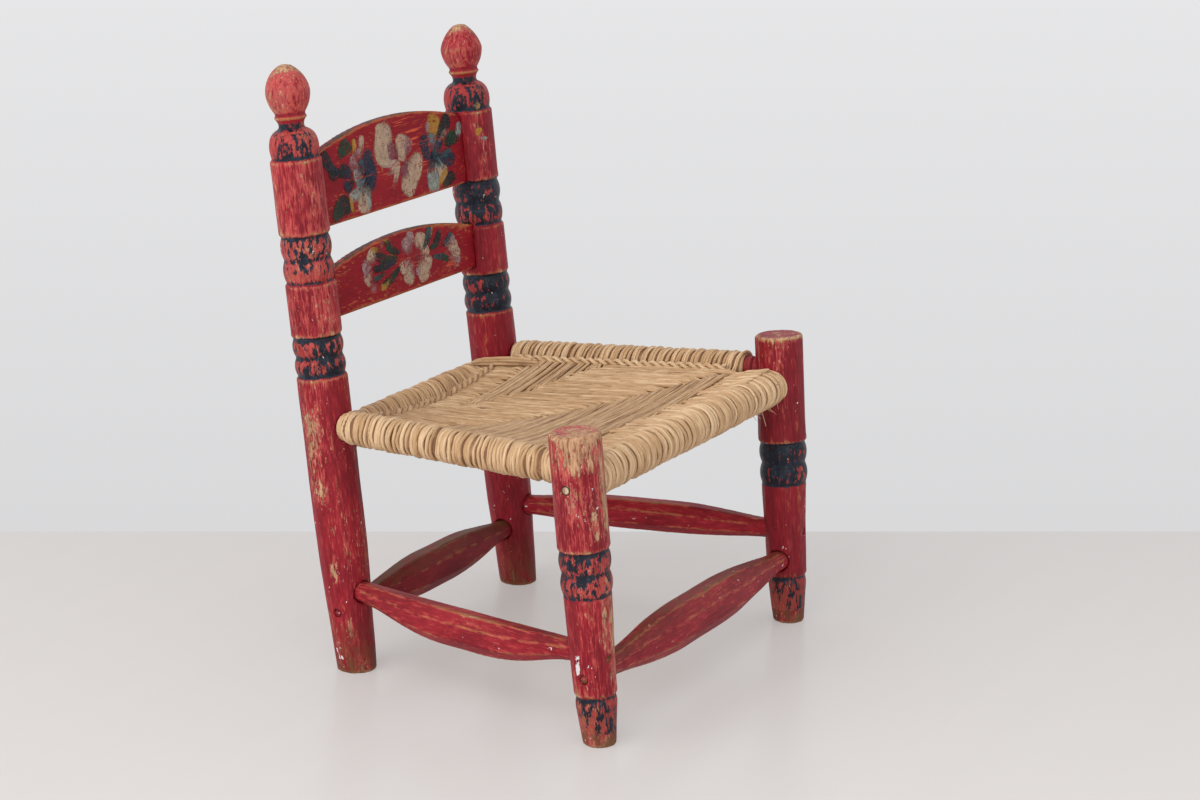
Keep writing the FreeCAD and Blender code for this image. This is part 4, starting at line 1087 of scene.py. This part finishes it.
# The seat weft: the same strands wound round the side rails, greyer and slacker. They float on top
# in two corner fields and otherwise pass below the warp.
WEFT_COUNT = 84
WEFT_LEFT = (0.1085, -0.1175)
WEFT_RIGHT = (0.1110, -0.1300)
WEFT_HOLDS = (0.150, 0.050)
WEFT_DRIFT = (0.0020, 0.45, 6.0)
WEFT_SEED = 10.0
courses = []
left_bundles = bundles(WEFT_COUNT)
right_bundles = bundles(WEFT_COUNT)
for strand in range(WEFT_COUNT):
    share = (strand + 0.5) / WEFT_COUNT
    jitter = shuttle.uniform(-0.0005, 0.0005) + 0.0004 * ripple(strand * 0.37, 12.0)
    left = side_at(WEFT_LEFT[0] + (WEFT_LEFT[1] - WEFT_LEFT[0]) * share + jitter * 0.5)
    right = side_at(WEFT_RIGHT[0] + (WEFT_RIGHT[1] - WEFT_RIGHT[0]) * share + jitter)
    right.x = -right.x
    slip = shuttle.uniform(-0.007, 0.007)
    in_left, in_right = left_bundles[strand], right_bundles[strand]
    radii = (SIDE_ROLL + 0.0009 * (1.0 - abs(in_left)) + shuttle.uniform(-0.0003, 0.0004),
             SIDE_ROLL + 0.0005 * ripple(strand * 0.6, 16.0) + shuttle.uniform(-0.0007, 0.0006))
    leans = (0.002 + 0.003 * ripple(strand * 0.4, 13.0),
             0.002 + 0.006 * ripple(strand * 0.13, 14.0) + shuttle.uniform(-0.0013, 0.0013))
    pulls = (-0.0009 * in_left, 0.0002 * in_right)
    widths = (0.0026 * shuttle.uniform(0.9, 1.1), 0.0034 * shuttle.uniform(0.82, 1.15))
    thick = STRAND_THICK * shuttle.uniform(0.9, 1.1)

    def lift(x, y, run):
        return FLOAT_RISE * (2.0 * weft_over(x + slip, y) - 1.0)

    course = belt(strand, (left, right), radii, leans, pulls, WEFT_HOLDS, widths, thick, lift, WEFT_DRIFT,
                  WEFT_SEED)
    courses.append((course, 0.36 + shuttle.uniform(-0.20, 0.22), True))
weft = strand_mesh("weft_strands", courses, palm)
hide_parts("seat_weft", "left_rail_wrap", "right_rail_wrap")

# The first winding under the strands: a packed layer of palm wound on each rail before the weaving.
# Its dark brown is painted shade that shows in the gaps of the rolls; its paler outer turns close their ends.
CORE_SINK = 0.0016
CORE_PITCH = 0.0055
CORE_WIDTH = 0.0075
CORE_THICK = 0.0020
CORE_STEPS = 18
CORE_SHADE_TONE = 1.15
CORE_END_TONE = 0.42
CORE_GAP, CORE_LEFT_GAP = 0.026, 0.036
REAR_HALF = Vector((0.1357, 0.0, 0.0))
FRONT_HALF = Vector((0.180, 0.0, 0.0))
MIRROR = Vector((-1.0, 1.0, 1.0))
courses = []
for first, second, radius, last_gap in (
        (REAR_RAIL - REAR_HALF, REAR_RAIL + REAR_HALF, SIDE_ROLL, CORE_GAP),
        (FRONT_RAIL - FRONT_HALF, FRONT_RAIL + FRONT_HALF, FRONT_ROLL, CORE_GAP),
        (SIDE_REAR, SIDE_FRONT, SIDE_ROLL, CORE_LEFT_GAP),
        (SIDE_REAR * MIRROR, SIDE_FRONT * MIRROR, SIDE_ROLL, CORE_GAP)):
    axis = (second - first).normalized()
    out = axis.cross(UP).normalized()
    up = out.cross(axis)
    length = (second - first).length - CORE_GAP - last_gap
    count = int(length / CORE_PITCH)
    for loop in range(count + 1):
        middle = first + axis * (CORE_GAP + length * loop / count)
        course = []
        for step in range(CORE_STEPS):
            angle = 2.0 * math.pi * step / CORE_STEPS
            spot = middle + (out * math.cos(angle) + up * math.sin(angle)) * (radius - CORE_SINK)
            course.append((spot, axis, CORE_WIDTH, CORE_THICK))
        # The dark brown tone is painted shade for the gaps between the strands.
        tone = CORE_SHADE_TONE + shuttle.uniform(-0.15, 0.25)
        courses.append((course, CORE_END_TONE if loop in (0, count) else tone, True))
strand_mesh("gap_shade_winding", courses, palm)

# The twined edge that locks the strands beside the rolls: two palm strands twisted round each other
# and laid along the inside of the side and rear rails.
TWINE_RADIUS = 0.0024
TWINE_WIDTH = 0.0044
TWINE_THICK = 0.0034
TWINE_PITCH = 0.0180
TWINE_LIFT = 0.0030
TWINE_INSET = 0.0210
TWINE_STEP = 0.0013
TWINE_REAR, TWINE_FRONT = 0.098, -0.110
TWINE_TONE, TWINE_REAR_TONE = 0.12, 0.45
courses = []
for edge, lay in (("left", -1.0), ("right", 1.0), ("rear", 1.0)):
    if edge == "rear":
        begin = REAR_RAIL + Vector((-TWINE_REAR, -TWINE_INSET, 0.0))
        close = REAR_RAIL + Vector((TWINE_REAR, -TWINE_INSET, 0.0))
    else:
        sign = 1.0 if edge == "left" else -1.0
        begin, close = (Vector((sign * (side_at(level).x - TWINE_INSET), level, 0.0))
                        for level in (TWINE_REAR, TWINE_FRONT))
    length = (close - begin).length
    aside = (close - begin).normalized().cross(UP)
    steps = int(length / TWINE_STEP)
    for ply in range(2):
        course = []
        for step in range(steps + 1):
            spot = begin.lerp(close, step / steps)
            angle = lay * step / steps * length / TWINE_PITCH * 2.0 * math.pi + ply * math.pi
            spot.z = seat_height(spot.x, spot.y) + TWINE_LIFT + math.sin(angle) * TWINE_RADIUS * 0.8
            course.append((spot + aside * math.cos(angle) * TWINE_RADIUS, aside, TWINE_WIDTH, TWINE_THICK))
        courses.append((course, (TWINE_REAR_TONE if edge == "rear" else TWINE_TONE) + 0.1 * ply, False))
strand_mesh("edge_twining", courses, palm)

# The loose ends: three slack strands tied across the rear left corner, and frayed fibres that stand
# out of the rolls where the palm has split.
SLACK_STRANDS = (
    ((0.104, 0.131, 0.226), (0.108, 0.112, 0.2305), (0.112, 0.098, 0.2315), (0.117, 0.078, 0.2310)),
    ((0.099, 0.131, 0.2255), (0.104, 0.110, 0.2285), (0.110, 0.095, 0.2305), (0.116, 0.070, 0.2290)),
    ((0.093, 0.130, 0.2250), (0.097, 0.108, 0.2270), (0.105, 0.090, 0.2290), (0.114, 0.062, 0.2270)))
SLACK_STEPS = 24
SLACK_WIDTH = 0.0046
SLACK_THICK = 0.0032
FRAYS = 16
FRAY_STEPS = 6
FRAY_LIFT = 0.001
FRAY_WIDTH = 0.0007
FRAY_THICK = 0.0005
courses = []
for strand, stops in enumerate(SLACK_STRANDS):
    course = []
    for step in range(SLACK_STEPS + 1):
        share = step / SLACK_STEPS
        spot = Vector((0.0, 0.0, 0.0))
        for index, weight in enumerate(((1 - share) ** 3, 3 * share * (1 - share) ** 2,
                                        3 * share ** 2 * (1 - share), share ** 3)):
            spot += Vector(stops[index]) * weight
        course.append((spot, Vector((1.0, 0.0, 0.0)), SLACK_WIDTH, SLACK_THICK))
    courses.append((course, 0.35 + 0.1 * strand, False))
for fray in range(FRAYS):
    if fray % 7:
        rail = Vector((shuttle.uniform(0.10, 0.155), FRONT_RAIL.y, FRONT_RAIL.z))
        out = Vector((0.0, -math.cos(0.5), math.sin(0.5))) if fray % 5 == 1 else Vector((0.0, -0.7, -0.7))
        spot = rail + out * (FRONT_ROLL + FRAY_LIFT)
    else:
        rail = side_at(shuttle.uniform(-0.115, 0.105))
        out = Vector((-0.3, 0.0, 0.95))
        spot = rail + out * (SIDE_ROLL + FRAY_LIFT)
    way = Vector((shuttle.uniform(-1, 1), shuttle.uniform(-1, 1), shuttle.uniform(-0.6, 0.4))).normalized()
    curl = Vector((shuttle.uniform(-1, 1), shuttle.uniform(-1, 1), shuttle.uniform(-1, 1))) * 0.5
    reach = shuttle.uniform(0.004, 0.011)
    course = []
    for step in range(FRAY_STEPS):
        share = step / (FRAY_STEPS - 1)
        place = spot + (way * 0.8 + out * 0.5) * (reach * share) + curl * (reach * share * share)
        course.append((place, way.cross(out).normalized(), FRAY_WIDTH * (1.1 - share), FRAY_THICK))
    courses.append((course, 0.45 + shuttle.uniform(-0.2, 0.3), False))
strand_mesh("loose_ends", courses, palm)
